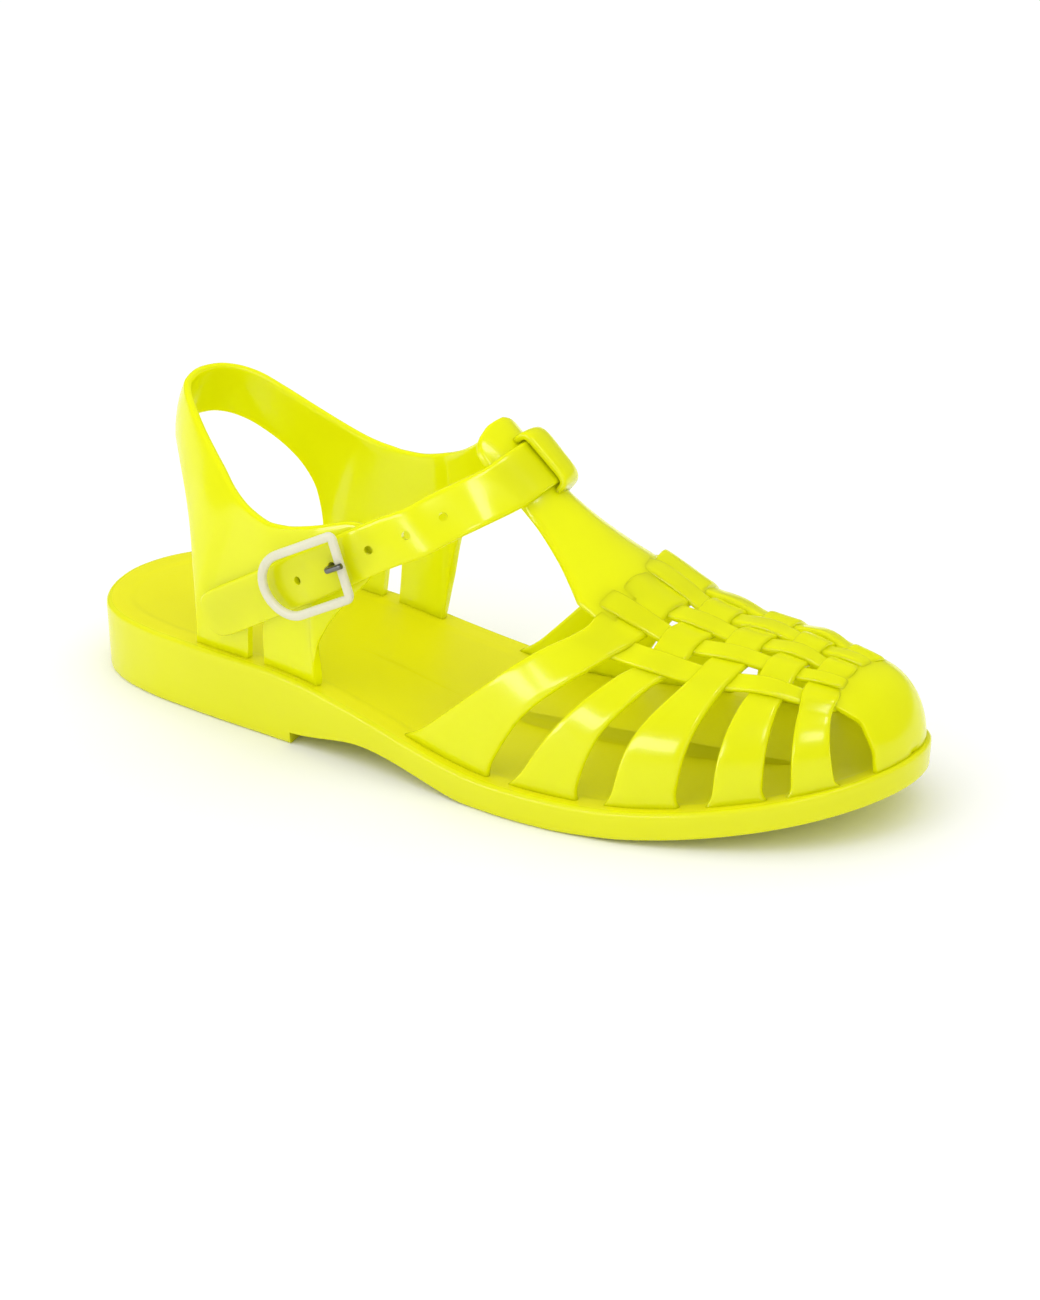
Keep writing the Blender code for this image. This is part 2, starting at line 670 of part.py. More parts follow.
def build_quarters(parts, cutters):
    """Quarters, heel sling and ankle strap as one moulded ribbon."""
    outer, inner, strap = quarter_rows()
    sections = outer[::-1] + inner[1:] + strap

    def outward(point):
        away = Vector((min(0.0, point.x - to_x(0.26)) * 0.6, point.y - centre_at(point.x), 0.0))
        return away.normalized()

    grid = ribbon_grid(sections, outward)
    flat = len(outer) + len(inner) - 1
    rest = QUARTER_WALL / 2 + 2.5 * CLEARANCE + STRAP_WALL / 2
    for row in grid[-len(TAIL_STATIONS):]:
        for point in row:
            point.y = wall_y(grid[:len(outer)], point.x, point.z) - rest
    tail = grid[-len(TAIL_STATIONS) - len(OUTER_RUN):]
    walls = [QUARTER_WALL] * flat + [STRAP_WALL] * len(strap)
    far = [offset_grid(grid, w / 2) for w in (QUARTER_WALL, STRAP_WALL)]
    near = [offset_grid(grid, -w / 2) for w in (QUARTER_WALL, STRAP_WALL)]
    low = [far[w == STRAP_WALL][k] for k, w in enumerate(walls)]
    high = [near[w == STRAP_WALL][k] for k, w in enumerate(walls)]
    slot = {len(outer) - 1 - (len(SLING_ROWS) + 2) - 1, len(outer) - 1 + len(SLING_ROWS) + 2}
    cells = {}
    for r in range(len(grid) - 1):
        for c in range(len(ACROSS) - 1):
            if r in slot and ACROSS[c] >= SLOT_TOP:
                continue
            cells[(r, c)] = ("lo",) * 4
    ribbon = lattice("upper_quarter", high, low, low, cells)
    parts.objects.link(ribbon)
    holes = bpy.data.meshes.new("strap_holes")
    bm = bmesh.new()
    for station in TAIL_HOLES:
        point, normal = strap_spot(tail, station)
        spin = normal.to_track_quat("Z", "Y").to_matrix().to_4x4()
        place = Matrix.Translation(point * MM) @ spin
        bmesh.ops.create_cone(bm, cap_ends=True, segments=12, radius1=STRAP_HOLE / 2 * MM,
                              radius2=STRAP_HOLE / 2 * MM, depth=STRAP_WALL * 1.5 * MM, matrix=place)
    bm.to_mesh(holes)
    bm.free()
    cutter = bpy.data.objects.new("strap_holes", holes)
    as_cutter(cutter, cutters)
    boolean(ribbon, cutter, "DIFFERENCE")
    paint(ribbon, (0.84, 0.86, 0.004), 0.16, 0.0)
    return tail


def strap_spot(strap, station):
    """Point on the strap's centre line at a station, and its outward normal."""
    x = to_x(station)
    middle = ACROSS.index(0.42)
    centres = [row[middle].lerp(row[middle + 1], (0.5 - 0.42) / (SLOT_TOP - 0.42)) for row in strap]
    for k in range(len(centres) - 1):
        a, b = centres[k], centres[k + 1]
        if b.x <= x <= a.x:
            t = (a.x - x) / (a.x - b.x)
            spread = (strap[k][-1] - strap[k][0]).lerp(strap[k + 1][-1] - strap[k + 1][0], t)
            normal = spread.cross(b - a).normalized()
            if normal.y > 0:
                normal = -normal
            return a.lerp(b, t), normal
    raise ValueError("station off the strap")


def sweep(name, path, width, thick, up, closed):
    """Solid bar with a flattened eight-sided section along a path."""
    verts, faces = [], []
    shape = [(1, 0.45), (0.7, 1), (-0.7, 1), (-1, 0.45), (-1, -0.45), (-0.7, -1), (0.7, -1), (1, -0.45)]
    count, sides = len(path), len(shape)
    for k, point in enumerate(path):
        back = path[k - 1] if closed or k else path[0]
        ahead = path[(k + 1) % count] if closed or k < count - 1 else path[-1]
        along = (ahead - back).normalized()
        across = along.cross(up).normalized()
        rise = across.cross(along).normalized()
        for a, b in shape:
            verts.append(point + across * (a * width / 2) + rise * (b * thick / 2))
    for k in range(count if closed else count - 1):
        n = (k + 1) % count
        for j in range(sides):
            m = (j + 1) % sides
            faces.append((k * sides + j, k * sides + m, n * sides + m, n * sides + j))
    if not closed:
        faces.append(tuple(range(sides)))
        faces.append(tuple(range((count - 1) * sides, count * sides)))
    return add_mesh(name, verts, faces)


def build_buckle(parts, strap):
    """White D-shaped frame over the strap's tail and the steel pin through it."""
    bar, normal = strap_spot(strap, FRAME_STATION)
    far, _ = strap_spot(strap, FRAME_STATION - 0.85 * FRAME_LENGTH / LENGTH)
    along = (far - bar).normalized()
    up = (normal - along * normal.dot(along)).normalized()
    along = Matrix.Rotation(math.radians(-FRAME_TURN), 3, up) @ along
    across = along.cross(up).normalized()
    under = [p for row in strap for p in row if -2.0 < (p - bar).dot(along) < FRAME_LENGTH + 2.0]
    bump = max((p - bar).dot(up) for p in under)
    rise = bump + STRAP_WALL / 2 + CLEARANCE + FRAME_THICK / 2
    radius = FRAME_WIDTH / 2
    corner = FRAME_CORNER
    flat = []
    for k in range(17):
        turn = math.pi / 2 - math.pi * k / 16
        flat.append((FRAME_LENGTH - radius + radius * math.cos(turn), radius * math.sin(turn)))
    flat += [(FRAME_LENGTH * 0.35, -radius), (corner, -radius), (0.3 * corner, -radius + 0.3 * corner)]
    flat += [(0.0, -radius + corner), (0.0, 0.0), (0.0, radius - corner)]
    flat += [(0.3 * corner, radius - 0.3 * corner), (corner, radius), (FRAME_LENGTH * 0.35, radius)]
    middle = bar + across * FRAME_SHIFT
    frame = sweep("buckle_frame", [middle + along * p + across * q + up * rise for p, q in flat],
                  FRAME_BAR, FRAME_THICK, up, True)
    parts.objects.link(frame)
    paint(frame, (0.86, 0.86, 0.84), 0.30, 0.0)

    hole, _ = strap_spot(strap, TAIL_HOLES[-1])
    reach, side, base = ((hole - bar).dot(v) for v in (along, across, up))
    top = rise + FRAME_THICK / 2 + CLEARANCE + PIN_WIDTH / 2
    face = base + STRAP_WALL / 2
    route = [(reach, face - STRAP_WALL), (reach, face + 0.3), (reach - 0.8, 0.3 * face + 0.7 * top),
             (reach - 2.2, top), (reach - PIN_REACH, top)]
    path = [bar + along * p + across * side + up * q for p, q in route]
    pin = sweep("buckle_pin", path, PIN_WIDTH, PIN_WIDTH, across, False)
    parts.objects.link(pin)
    paint(pin, (0.17, 0.17, 0.16), 0.30, 1.0)


def main():
    """Build the sandal."""
    clear_scene()
    parts = bpy.data.collections.new("jelly_sandal")
    cutters = bpy.data.collections.new("cutters")
    for collection in (parts, cutters):
        bpy.context.scene.collection.children.link(collection)
    build_outsole(parts, cutters)
    build_vamp(parts, cutters)
    strap = build_quarters(parts, cutters)
    build_buckle(parts, strap)


main()
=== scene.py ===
"""Looks of the moulded jelly sandal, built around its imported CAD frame.

Lengths are millimetres until a mesh is placed, which is in metres. +X points to the toe,
+Y to the inner side of the foot and +Z up, as in the frame.
"""
from __future__ import annotations

import logging
import math
from dataclasses import dataclass, field
from enum import Enum
from typing import Callable, Sequence

import bmesh
import bpy
import numpy as np
from mathutils import Matrix, Vector

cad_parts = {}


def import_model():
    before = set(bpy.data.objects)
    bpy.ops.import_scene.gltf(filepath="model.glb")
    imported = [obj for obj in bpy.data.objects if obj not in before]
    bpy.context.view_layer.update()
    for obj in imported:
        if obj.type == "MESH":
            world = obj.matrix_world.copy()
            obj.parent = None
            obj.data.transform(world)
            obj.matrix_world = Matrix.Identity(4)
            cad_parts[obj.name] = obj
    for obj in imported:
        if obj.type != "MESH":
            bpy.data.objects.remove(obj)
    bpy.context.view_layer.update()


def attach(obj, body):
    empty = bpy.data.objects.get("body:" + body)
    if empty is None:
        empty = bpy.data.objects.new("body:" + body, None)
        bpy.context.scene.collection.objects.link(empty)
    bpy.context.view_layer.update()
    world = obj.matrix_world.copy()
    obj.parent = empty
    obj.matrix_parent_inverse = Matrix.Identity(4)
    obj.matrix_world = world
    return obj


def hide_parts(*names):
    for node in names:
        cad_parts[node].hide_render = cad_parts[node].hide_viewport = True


LOG = logging.getLogger("jelly_sandal")
MM = 0.001
BODY = "root"
EDGE_TURNS = 3
LEAST_FLAT = 0.01
WELD = 1e-6

Surface = Callable[[float, float, float], Vector]


class Side(Enum):
    """Side of the foot, as a sign along Y."""

    OUTER = -1
    INNER = 1


class Slot(Enum):
    """Names of the material slots."""

    SOLE = "sole"
    UPPER = "upper"
    BUCKLE = "buckle"
    PIN = "pin"


def ease(t: float) -> float:
    """Smooth step from 0 to 1."""
    t = min(1.0, max(0.0, float(t)))
    return t * t * (3 - 2 * t)


def curve(xs: Sequence[float], ys: Sequence[float], x: float | np.ndarray) -> np.ndarray:
    """Monotone cubic through points.

    Args:
        xs: rising places of the points.
        ys: values there, one number or one vector per place.
        x: where the curve is read.

    Returns:
        The value, or the values, at x.
    """
    xs, ys, x = (np.asarray(v, float) for v in (xs, ys, x))
    step = np.diff(xs)
    extra = (1,) * (ys.ndim - 1)
    step = step.reshape((-1,) + extra)
    rise = np.diff(ys, axis=0) / step
    slope = np.zeros_like(ys)
    before, after = rise[:-1], rise[1:]
    same = before * after > 0
    safe = np.where(same, before + after, 1.0)
    slope[1:-1] = np.where(same, 2.0 * before * after / safe, 0.0)
    slope[0], slope[-1] = rise[0], rise[-1]
    k = np.clip(np.searchsorted(xs, x) - 1, 0, len(xs) - 2)
    t = np.asarray((x - xs[k]) / np.diff(xs)[k])
    t = t.reshape(t.shape + extra)
    wide = step[k]
    return ((1 + 2 * t) * (1 - t) ** 2 * ys[k] + t * (1 - t) ** 2 * wide * slope[k]
            + t * t * (3 - 2 * t) * ys[k + 1] + t * t * (t - 1) * wide * slope[k + 1])


@dataclass(frozen=True)
class Last:
    """The form that the sandal is moulded around, and its driving sizes."""

    length: float = 250.0
    ball_width: float = 88.0
    instep_height: float = 91.0
    vamp_height: float = 64.0
    clearance: float = 0.3
    seat: float = -0.9
    seat_start: float = 0.75
    heel_height: float = 19.9
    fore_height: float = 8.5
    toe_rise: float = 11.5
    toe_spring: float = 12.0
    foot_inset: float = 3.0
    toe_inset: float = 1.0
    toe_start: float = 0.86
    toe_ease: tuple = (0.87, 0.11)
    vamp_power: float = 0.84
    toe_power: float = 1.8
    girth_steps: int = 61
    slope_step: float = 0.004
    tbar_width: float = 21.0
    tbar_arch: float = 4.6
    sole_rows: tuple = (
        (0.00, 0.082, 0.000), (0.05, 0.072, 0.290), (0.10, 0.061, 0.347),
        (0.15, 0.047, 0.367), (0.20, 0.026, 0.368), (0.25, 0.003, 0.363),
        (0.30, -0.016, 0.360), (0.35, -0.031, 0.362), (0.40, -0.040, 0.370),
        (0.50, -0.043, 0.407), (0.60, -0.032, 0.462), (0.65, -0.019, 0.486),
        (0.70, -0.003, 0.498), (0.75, 0.011, 0.494), (0.80, 0.026, 0.471),
        (0.85, 0.042, 0.433), (0.90, 0.058, 0.376), (0.94, 0.071, 0.307),
        (0.97, 0.080, 0.225), (0.99, 0.085, 0.133), (1.00, 0.086, 0.000),
    )
    vamp_rows: tuple = (
        (0.46, 1.150), (0.58, 1.000), (0.68, 0.775), (0.76, 0.611),
        (0.84, 0.526), (0.91, 0.465), (0.96, 0.490),
    )
    tbar_rows: tuple = (
        (0.5230, 1.000, -0.022, 0.40, 0.15), (0.5262, 0.994, -0.022, 0.68, 0.38),
        (0.5320, 0.981, -0.022, 0.88, 0.66), (0.5400, 0.962, -0.021, 0.97, 0.88),
        (0.5505, 0.934, -0.017, 1.00, 0.98), (0.5690, 0.880, -0.009, 0.94, 1.00),
        (0.5870, 0.827, -0.002, 0.89, 1.00), (0.5980, 0.799, -0.002, 0.92, 0.96),
        (0.6140, 0.765, -0.006, 1.02, 0.92), (0.6360, 0.722, -0.013, 1.22, 0.92),
        (0.6600, 0.679, -0.024, 1.51, 0.96), (0.6790, 0.646, -0.033, 1.78, 1.00),
    )
    heel_end: float = 0.29
    waist_end: float = 0.61
    toe_begin: float = 0.70
    spring_begin: float = 0.66
    outline_steps: int = 240
    sides: dict = field(default_factory=dict, compare=False, hash=False)

    def to_x(self, share: float) -> float:
        """Station as a share of the length to a place along X."""
        return (share - 0.5) * self.length

    def outline(self, count: int) -> np.ndarray:
        """Closed outline of the outsole.

        Args:
            count: steps along each side.

        Returns:
            Points from the heel along the outer side to the toe and back.
        """
        share, centre, half = (np.array(c) for c in zip(*self.sole_rows))
        knots = np.arccos(1 - 2 * share)
        turn = np.linspace(0, math.pi, count + 1)
        width = curve(knots, half, turn) * self.ball_width
        middle = curve(knots, centre, turn) * self.ball_width
        x = self.to_x((1 - np.cos(turn)) / 2)
        loop = np.vstack([np.c_[x, middle - width], np.c_[x, middle + width][1:-1][::-1]])
        loop[:, 1] -= (loop[:, 1].max() + loop[:, 1].min()) / 2
        return loop

    @staticmethod
    def inset(loop: np.ndarray, distance: float) -> np.ndarray:
        """Outline moved inwards by a distance."""
        along = np.roll(loop, -1, 0) - np.roll(loop, 1, 0)
        along /= np.linalg.norm(along, axis=1)[:, None]
        return loop + np.c_[-along[:, 1], along[:, 0]] * distance

    def sides_at(self, x: float, distance: float) -> tuple[float, float]:
        """Outer and inner Y of the outline inset by a distance, at x."""
        if not self.sides:
            base = self.outline(self.outline_steps)
            self.sides["base"] = base
            self.sides["inward"] = self.inset(base, 1.0) - base
        loop = self.sides["base"] + self.sides["inward"] * distance
        tip = self.outline_steps
        inner = np.vstack([loop[tip:], loop[:1]])[::-1]
        return (float(np.interp(x, loop[:tip + 1, 0], loop[:tip + 1, 1])),
                float(np.interp(x, inner[:, 0], inner[:, 1])))

    def centre_at(self, x: float) -> float:
        """Centre line of the outsole at x."""
        return sum(self.sides_at(x, 0.0)) / 2

    def rim_z(self, x: float) -> float:
        """Height of the outsole's rim at x."""
        s = x / self.length + 0.5
        fall = ease((s - self.heel_end) / (self.waist_end - self.heel_end))
        rise = max(0.0, (s - self.toe_begin) / (1 - self.toe_begin)) ** 2
        return (self.heel_height + (self.fore_height - self.heel_height) * fall
                + self.toe_rise * rise)

    def floor_z(self, x: float) -> float:
        """Height of the outsole's underside, with its toe spring."""
        s = x / self.length + 0.5
        return self.toe_spring * max(0.0, (s - self.spring_begin) / (1 - self.spring_begin)) ** 2

    def vamp_point(self, share: float, girth: float, depth: float) -> Vector:
        """Point of the vamp.

        Args:
            share: station as a share of the length.
            girth: share of the half girth, negative on the outer side.
            depth: how far the point lies inside the vamp's main surface.

        Returns:
            The point in millimetres.
        """
        start = self.to_x(self.toe_start)
        reach = self.length / 2 - self.toe_inset - start
        x = self.to_x(share)
        if x > start:
            x = start + (x - start) * (reach - depth) / reach
        begin, run_out = self.toe_ease
        eased = ease((share - begin) / run_out)
        foot = self.foot_inset + (self.toe_inset - self.foot_inset) * eased
        outer, inner = self.sides_at(x, foot + depth)
        table = np.array(self.vamp_rows)
        height = float(curve(table[:, 0], table[:, 1], share)) * self.vamp_height - depth
        close = min(1.0, max(0.0, (x - start) / (reach - depth)))
        height *= (1 - close ** self.toe_power) ** (1 / self.toe_power)
        width = (inner - outer) / 2
        turn = np.linspace(0, math.pi / 2, self.girth_steps)
        across = np.sin(turn) ** self.vamp_power * max(width, 0.0)
        up = np.cos(turn) ** self.vamp_power * height
        run = np.r_[0, np.cumsum(np.hypot(np.diff(across), np.diff(up)))]
        run /= max(run[-1], 1e-9)
        y = float(np.interp(abs(girth), run, across))
        z = float(np.interp(abs(girth), run, up))
        sink = float(ease((max(abs(girth), close) - self.seat_start) / (1 - self.seat_start)))
        z += self.clearance + (self.seat - self.clearance) * sink
        return Vector((x, (inner + outer) / 2 + math.copysign(y, girth),
                       self.rim_z(x) + z))

    def tbar_frame(self, station: float) -> tuple[Vector, Vector, float, float]:
        """Ridge point, normal, half width and arch of the T-bar at a station."""
        table = np.array(self.tbar_rows)
        _, h, c, w, a = (float(v) for v in curve(table[:, 0], table, station))
        step = self.slope_step
        rise = (float(curve(table[:, 0], table[:, 1], station + step))
                - float(curve(table[:, 0], table[:, 1], station - step))) * self.instep_height
        slope = Vector((2 * step * self.length, 0.0, rise)).normalized()
        ridge = Vector((self.to_x(station), c * self.ball_width, h * self.instep_height))
        normal = Vector((-slope.z, 0.0, slope.x))
        return ridge, normal, w * self.tbar_width / 2, a * self.tbar_arch

    def tbar_point(self, station: float, share: float, depth: float) -> Vector:
        """Point of the T-bar at a station and a share of its half width."""
        ridge, normal, half, arch = self.tbar_frame(station)
        point = ridge - normal * (arch * share * share + depth)
        point.y += share * half
        return point

    def tbar_over(self, station: float, share: float, height: float) -> Vector:
        """Point over the T-bar at a height measured square to its arched surface."""
        _, _, half, arch = self.tbar_frame(station)
        steep = math.hypot(1.0, 2.0 * arch * share / half)
        return self.tbar_point(station, share, -height * steep)


@dataclass(frozen=True)
class Strap:
    """Sizes of the ankle strap and its place on the T-bar."""

    width: float = 13.5
    wall: float = 2.0
    lift: float = 0.4
    hole: float = 2.3
    on_tbar: float = 0.5690
    lean: float = 0.70


LAST = Last()
STRAP = Strap()


def rounded_profile(width: float, wall: float, edge: float,
                    across: int) -> list[tuple[float, float]]:
    """Closed section of a moulded strip with rounded edges.

    Args:
        width: real width of the strip, in millimetres.
        wall: its thickness.
        edge: radius of its edges.
        across: steps over its face.

    Returns:
        Pairs of share across the strip and depth below its outer face.
    """
    edge = min(edge, wall / 2 - LEAST_FLAT, width / 2.2)
    share = edge / width
    face = [share + (1 - 2 * share) * k / across for k in range(across + 1)]
    bend = []
    for k in range(1, EDGE_TURNS + 1):
        turn = math.pi / 2 * k / (EDGE_TURNS + 0.5)
        bend.append((share * math.sin(turn), edge * (1 - math.cos(turn))))
    return ([(v, 0.0) for v in face]
            + [(1 - share + out, down) for out, down in bend]
            + [(1 - share + out, wall - down) for out, down in bend[::-1]]
            + [(v, wall) for v in face[::-1]]
            + [(share - out, wall - down) for out, down in bend]
            + [(share - out, down) for out, down in bend[::-1]])


def tube_mesh(bm: bmesh.types.BMesh, rings: Sequence[Sequence[Vector]],
              closed: bool = False) -> None:
    """Skin rings of equal length by extruding the first one along the others.

    Args:
        bm: mesh that takes the tube.
        rings: points of each ring, in millimetres.
        closed: whether the last ring joins the first.
    """
    count = len(rings[0])
    made = bmesh.ops.create_circle(bm, cap_ends=False, segments=count, radius=1.0)
    first = made["verts"]
    for vert, point in zip(first, rings[0]):
        vert.co = point * MM
    edges = list({edge for vert in first for edge in vert.link_edges})
    verts = list(first)
    for ring in rings[1:]:
        step = bmesh.ops.extrude_edge_only(bm, edges=edges)
        fresh = [g for g in step["geom"] if isinstance(g, bmesh.types.BMVert)]
        fresh_set = set(fresh)
        edges = [g for g in step["geom"] if isinstance(g, bmesh.types.BMEdge)
                 and set(g.verts) <= fresh_set]
        order = []
        for vert in verts:
            order.append(next(e.other_vert(vert) for e in vert.link_edges
                              if e.other_vert(vert) in fresh_set))
        for vert, point in zip(order, ring):
            vert.co = point * MM
        verts = order
    if closed:
        rim = [e for e in bm.edges if len(e.link_faces) == 1]
        bmesh.ops.bridge_loops(bm, edges=rim)
    else:
        bmesh.ops.holes_fill(bm, edges=[e for e in bm.edges if e.is_boundary])


def strip_rings(surface: Surface, rows: Sequence[float], wall: float, edge: float,
                across: int) -> list[list[Vector]]:
    """Rings of a strip that lies on a surface.

    Args:
        surface: point at a row, a share across the strip and a depth.
        rows: rows along the strip.
        wall: thickness of the strip.
        edge: radius of its edges.
        across: steps over its face.

    Returns:
        One ring of points per row.
    """
    rings = []
    for row in rows:
        width = (surface(row, 0.02, 0.0) - surface(row, 0.98, 0.0)).length
        rings.append([surface(row, v, d) for v, d in rounded_profile(width, wall, edge, across)])
    return rings


def placed(name: str, data: bpy.types.ID) -> bpy.types.Object:
    """Object of the scene that shows a mesh, a light or a camera."""
    made = bpy.data.objects.new(name, data)
    bpy.context.scene.collection.objects.link(made)
    return made


def finished(name: str, bm: bmesh.types.BMesh, slot: Slot,
             material: bpy.types.Material) -> bpy.types.Object:
    """Turn a bmesh into a smooth, dressed object of the scene."""
    bmesh.ops.remove_doubles(bm, verts=bm.verts, dist=WELD)
    bmesh.ops.recalc_face_normals(bm, faces=bm.faces)
    mesh = bpy.data.meshes.new(name)
    bm.to_mesh(mesh)
    bm.free()
    mesh.polygons.foreach_set("use_smooth", [True] * len(mesh.polygons))
    piece = placed(name, mesh)
    mesh.materials.append(material)
    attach(piece, BODY)
    return piece


def carve(piece: bpy.types.Object, cutter: bpy.types.Object) -> None:
    """Cut another object out of a piece, exactly, and remove that object."""
    tool = piece.modifiers.new("carve", "BOOLEAN")
    tool.operation = "DIFFERENCE"
    tool.solver = "EXACT"
    tool.object = cutter
    graph = bpy.context.evaluated_depsgraph_get()
    mesh = bpy.data.meshes.new_from_object(piece.evaluated_get(graph), depsgraph=graph)
    piece.modifiers.clear()
    old, name = piece.data, piece.data.name
    piece.data = mesh
    bpy.data.meshes.remove(old)
    mesh.name = name
    bpy.data.objects.remove(cutter, do_unlink=True)


def cutter_object(bm: bmesh.types.BMesh) -> bpy.types.Object:
    """Plain object that holds a cutter's bmesh."""
    mesh = bpy.data.meshes.new("cutter")
    bmesh.ops.recalc_face_normals(bm, faces=bm.faces)
    bm.to_mesh(mesh)
    bm.free()
    return placed("cutter", mesh)


@dataclass(frozen=True)
class MouldMarks:
    """Shader group: slow swell of cooled plastic and fine mould grain."""

    name: str = "mould_marks"

    def group(self) -> bpy.types.NodeTree:
        """Build the group once and hand it out again afterwards."""
        if self.name in bpy.data.node_groups:
            return bpy.data.node_groups[self.name]
        tree = bpy.data.node_groups.new(self.name, "ShaderNodeTree")
        sockets = tree.interface
        for label, value in (("Swell Scale", 40.0), ("Grain Scale", 900.0), ("Grain Share", 0.2)):
            sockets.new_socket(name=label, in_out="INPUT",
                               socket_type="NodeSocketFloat").default_value = value
        sockets.new_socket(name="Height", in_out="OUTPUT", socket_type="NodeSocketFloat")
        sockets.new_socket(name="Cloud", in_out="OUTPUT", socket_type="NodeSocketFloat")
        nodes, links = tree.nodes, tree.links
        inputs, output = nodes.new("NodeGroupInput"), nodes.new("NodeGroupOutput")
        place = nodes.new("ShaderNodeTexCoord")
        swell, grain = nodes.new("ShaderNodeTexNoise"), nodes.new("ShaderNodeTexNoise")
        swell.inputs["Detail"].default_value = 1.0
        grain.inputs["Detail"].default_value = 2.0
        for noise, label in ((swell, "Swell Scale"), (grain, "Grain Scale")):
            links.new(place.outputs["Object"], noise.inputs["Vector"])
            links.new(inputs.outputs[label], noise.inputs["Scale"])
        part = nodes.new("ShaderNodeMath")
        part.operation = "MULTIPLY"
        links.new(grain.outputs["Fac"], part.inputs[0])
        links.new(inputs.outputs["Grain Share"], part.inputs[1])
        both = nodes.new("ShaderNodeMath")
        both.operation = "ADD"
        links.new(swell.outputs["Fac"], both.inputs[0])
        links.new(part.outputs[0], both.inputs[1])
        links.new(both.outputs[0], output.inputs["Height"])
        links.new(swell.outputs["Fac"], output.inputs["Cloud"])
        return tree


def clouded_gloss(tree: bpy.types.NodeTree, marks: bpy.types.Node,
                  roughness: tuple[float, float]) -> None:
    """Let the cloud of the mould marks vary the roughness between two values."""
    gloss = tree.nodes.new("ShaderNodeMapRange")
    gloss.inputs["To Min"].default_value, gloss.inputs["To Max"].default_value = roughness
    tree.links.new(marks.outputs["Cloud"], gloss.inputs["Value"])
    tree.links.new(gloss.outputs["Result"],
                   tree.nodes["Principled BSDF"].inputs["Roughness"])


@dataclass(frozen=True)
class PlasticFinish:
    """Moulded plastic with a cloudy depth and a soft gloss."""

    name: str
    deep: tuple[float, float, float]
    bright: tuple[float, float, float]
    roughness: tuple[float, float] = (0.16, 0.24)
    swell_scale: float = 45.0
    grain_scale: float = 900.0
    grain_share: float = 0.08
    relief: float = 0.00025
    relief_strength: float = 0.6
    coat: float = 0.12
    coat_roughness: float = 0.08
    specular: float = 0.28
    scatter: float = 0.0
    scatter_reach: tuple[float, float, float] = (1.0, 1.0, 0.1)
    scatter_scale: float = 0.003

    def material(self) -> bpy.types.Material:
        """Build the material."""
        material = bpy.data.materials.new(self.name)
        material.use_nodes = True
        nodes, links = material.node_tree.nodes, material.node_tree.links
        shader = nodes["Principled BSDF"]
        marks = nodes.new("ShaderNodeGroup")
        marks.node_tree = MouldMarks().group()
        marks.inputs["Swell Scale"].default_value = self.swell_scale
        marks.inputs["Grain Scale"].default_value = self.grain_scale
        marks.inputs["Grain Share"].default_value = self.grain_share
        tint = nodes.new("ShaderNodeMix")
        tint.data_type = "RGBA"
        tint.inputs["A"].default_value = (*self.deep, 1.0)
        tint.inputs["B"].default_value = (*self.bright, 1.0)
        links.new(marks.outputs["Cloud"], tint.inputs["Factor"])
        links.new(tint.outputs["Result"], shader.inputs["Base Color"])
        clouded_gloss(material.node_tree, marks, self.roughness)
        bump = nodes.new("ShaderNodeBump")
        bump.inputs["Distance"].default_value = self.relief
        bump.inputs["Strength"].default_value = self.relief_strength
        links.new(marks.outputs["Height"], bump.inputs["Height"])
        links.new(bump.outputs["Normal"], shader.inputs["Normal"])
        shader.inputs["Coat Weight"].default_value = self.coat
        shader.inputs["Coat Roughness"].default_value = self.coat_roughness
        shader.inputs["Specular IOR Level"].default_value = self.specular
        if self.scatter:
            shader.inputs["Subsurface Weight"].default_value = self.scatter
            shader.inputs["Subsurface Radius"].default_value = self.scatter_reach
            shader.inputs["Subsurface Scale"].default_value = self.scatter_scale
        return material


@dataclass(frozen=True)
class SteelFinish:
    """Dark steel whose gloss varies finely."""

    name: str = "pin_steel"
    colour: tuple[float, float, float] = (0.17, 0.17, 0.16)
    roughness: tuple[float, float] = (0.22, 0.42)
    brush_scale: float = 1500.0

    def material(self) -> bpy.types.Material:
        """Build the material."""
        material = bpy.data.materials.new(self.name)
        material.use_nodes = True
        nodes = material.node_tree.nodes
        shader = nodes["Principled BSDF"]
        shader.inputs["Metallic"].default_value = 1.0
        shader.inputs["Base Color"].default_value = (*self.colour, 1.0)
        marks = nodes.new("ShaderNodeGroup")
        marks.node_tree = MouldMarks().group()
        marks.inputs["Swell Scale"].default_value = self.brush_scale
        clouded_gloss(material.node_tree, marks, self.roughness)
        return material


@dataclass
class Palette:
    """Every finish of the sandal; the footbed's warm tint is painted shade."""

    upper: PlasticFinish = PlasticFinish(
        "upper_pvc", deep=(0.78, 0.80, 0.0005), bright=(0.81, 0.86, 0.001), scatter=0.6,
        scatter_scale=0.006)
    sole: PlasticFinish = PlasticFinish(
        "sole_pvc", deep=(0.77, 0.78, 0.003), bright=(0.81, 0.825, 0.006), scatter=0.2,
        roughness=(0.18, 0.28))
    # Footbed: the sole's plastic with a duller gloss and finer grain of its own, in a warmer
    # red-over-green tint that is painted shade, the warm cast the plastic takes in shade under
    # the straps.
    footbed: PlasticFinish = PlasticFinish(
        "footbed_pvc_shade_tint", deep=(0.82, 0.79, 0.0005), bright=(0.85, 0.83, 0.001),
        roughness=(0.34, 0.46), grain_scale=1400.0, grain_share=0.3, relief=0.0003, coat=0.05,
        scatter=0.3)
    buckle: PlasticFinish = PlasticFinish(
        "buckle_plastic", deep=(0.70, 0.68, 0.50), bright=(0.79, 0.77, 0.62),
        roughness=(0.24, 0.34), scatter=0.3, scatter_reach=(1.0, 0.95, 0.8))
    pin: SteelFinish = SteelFinish()


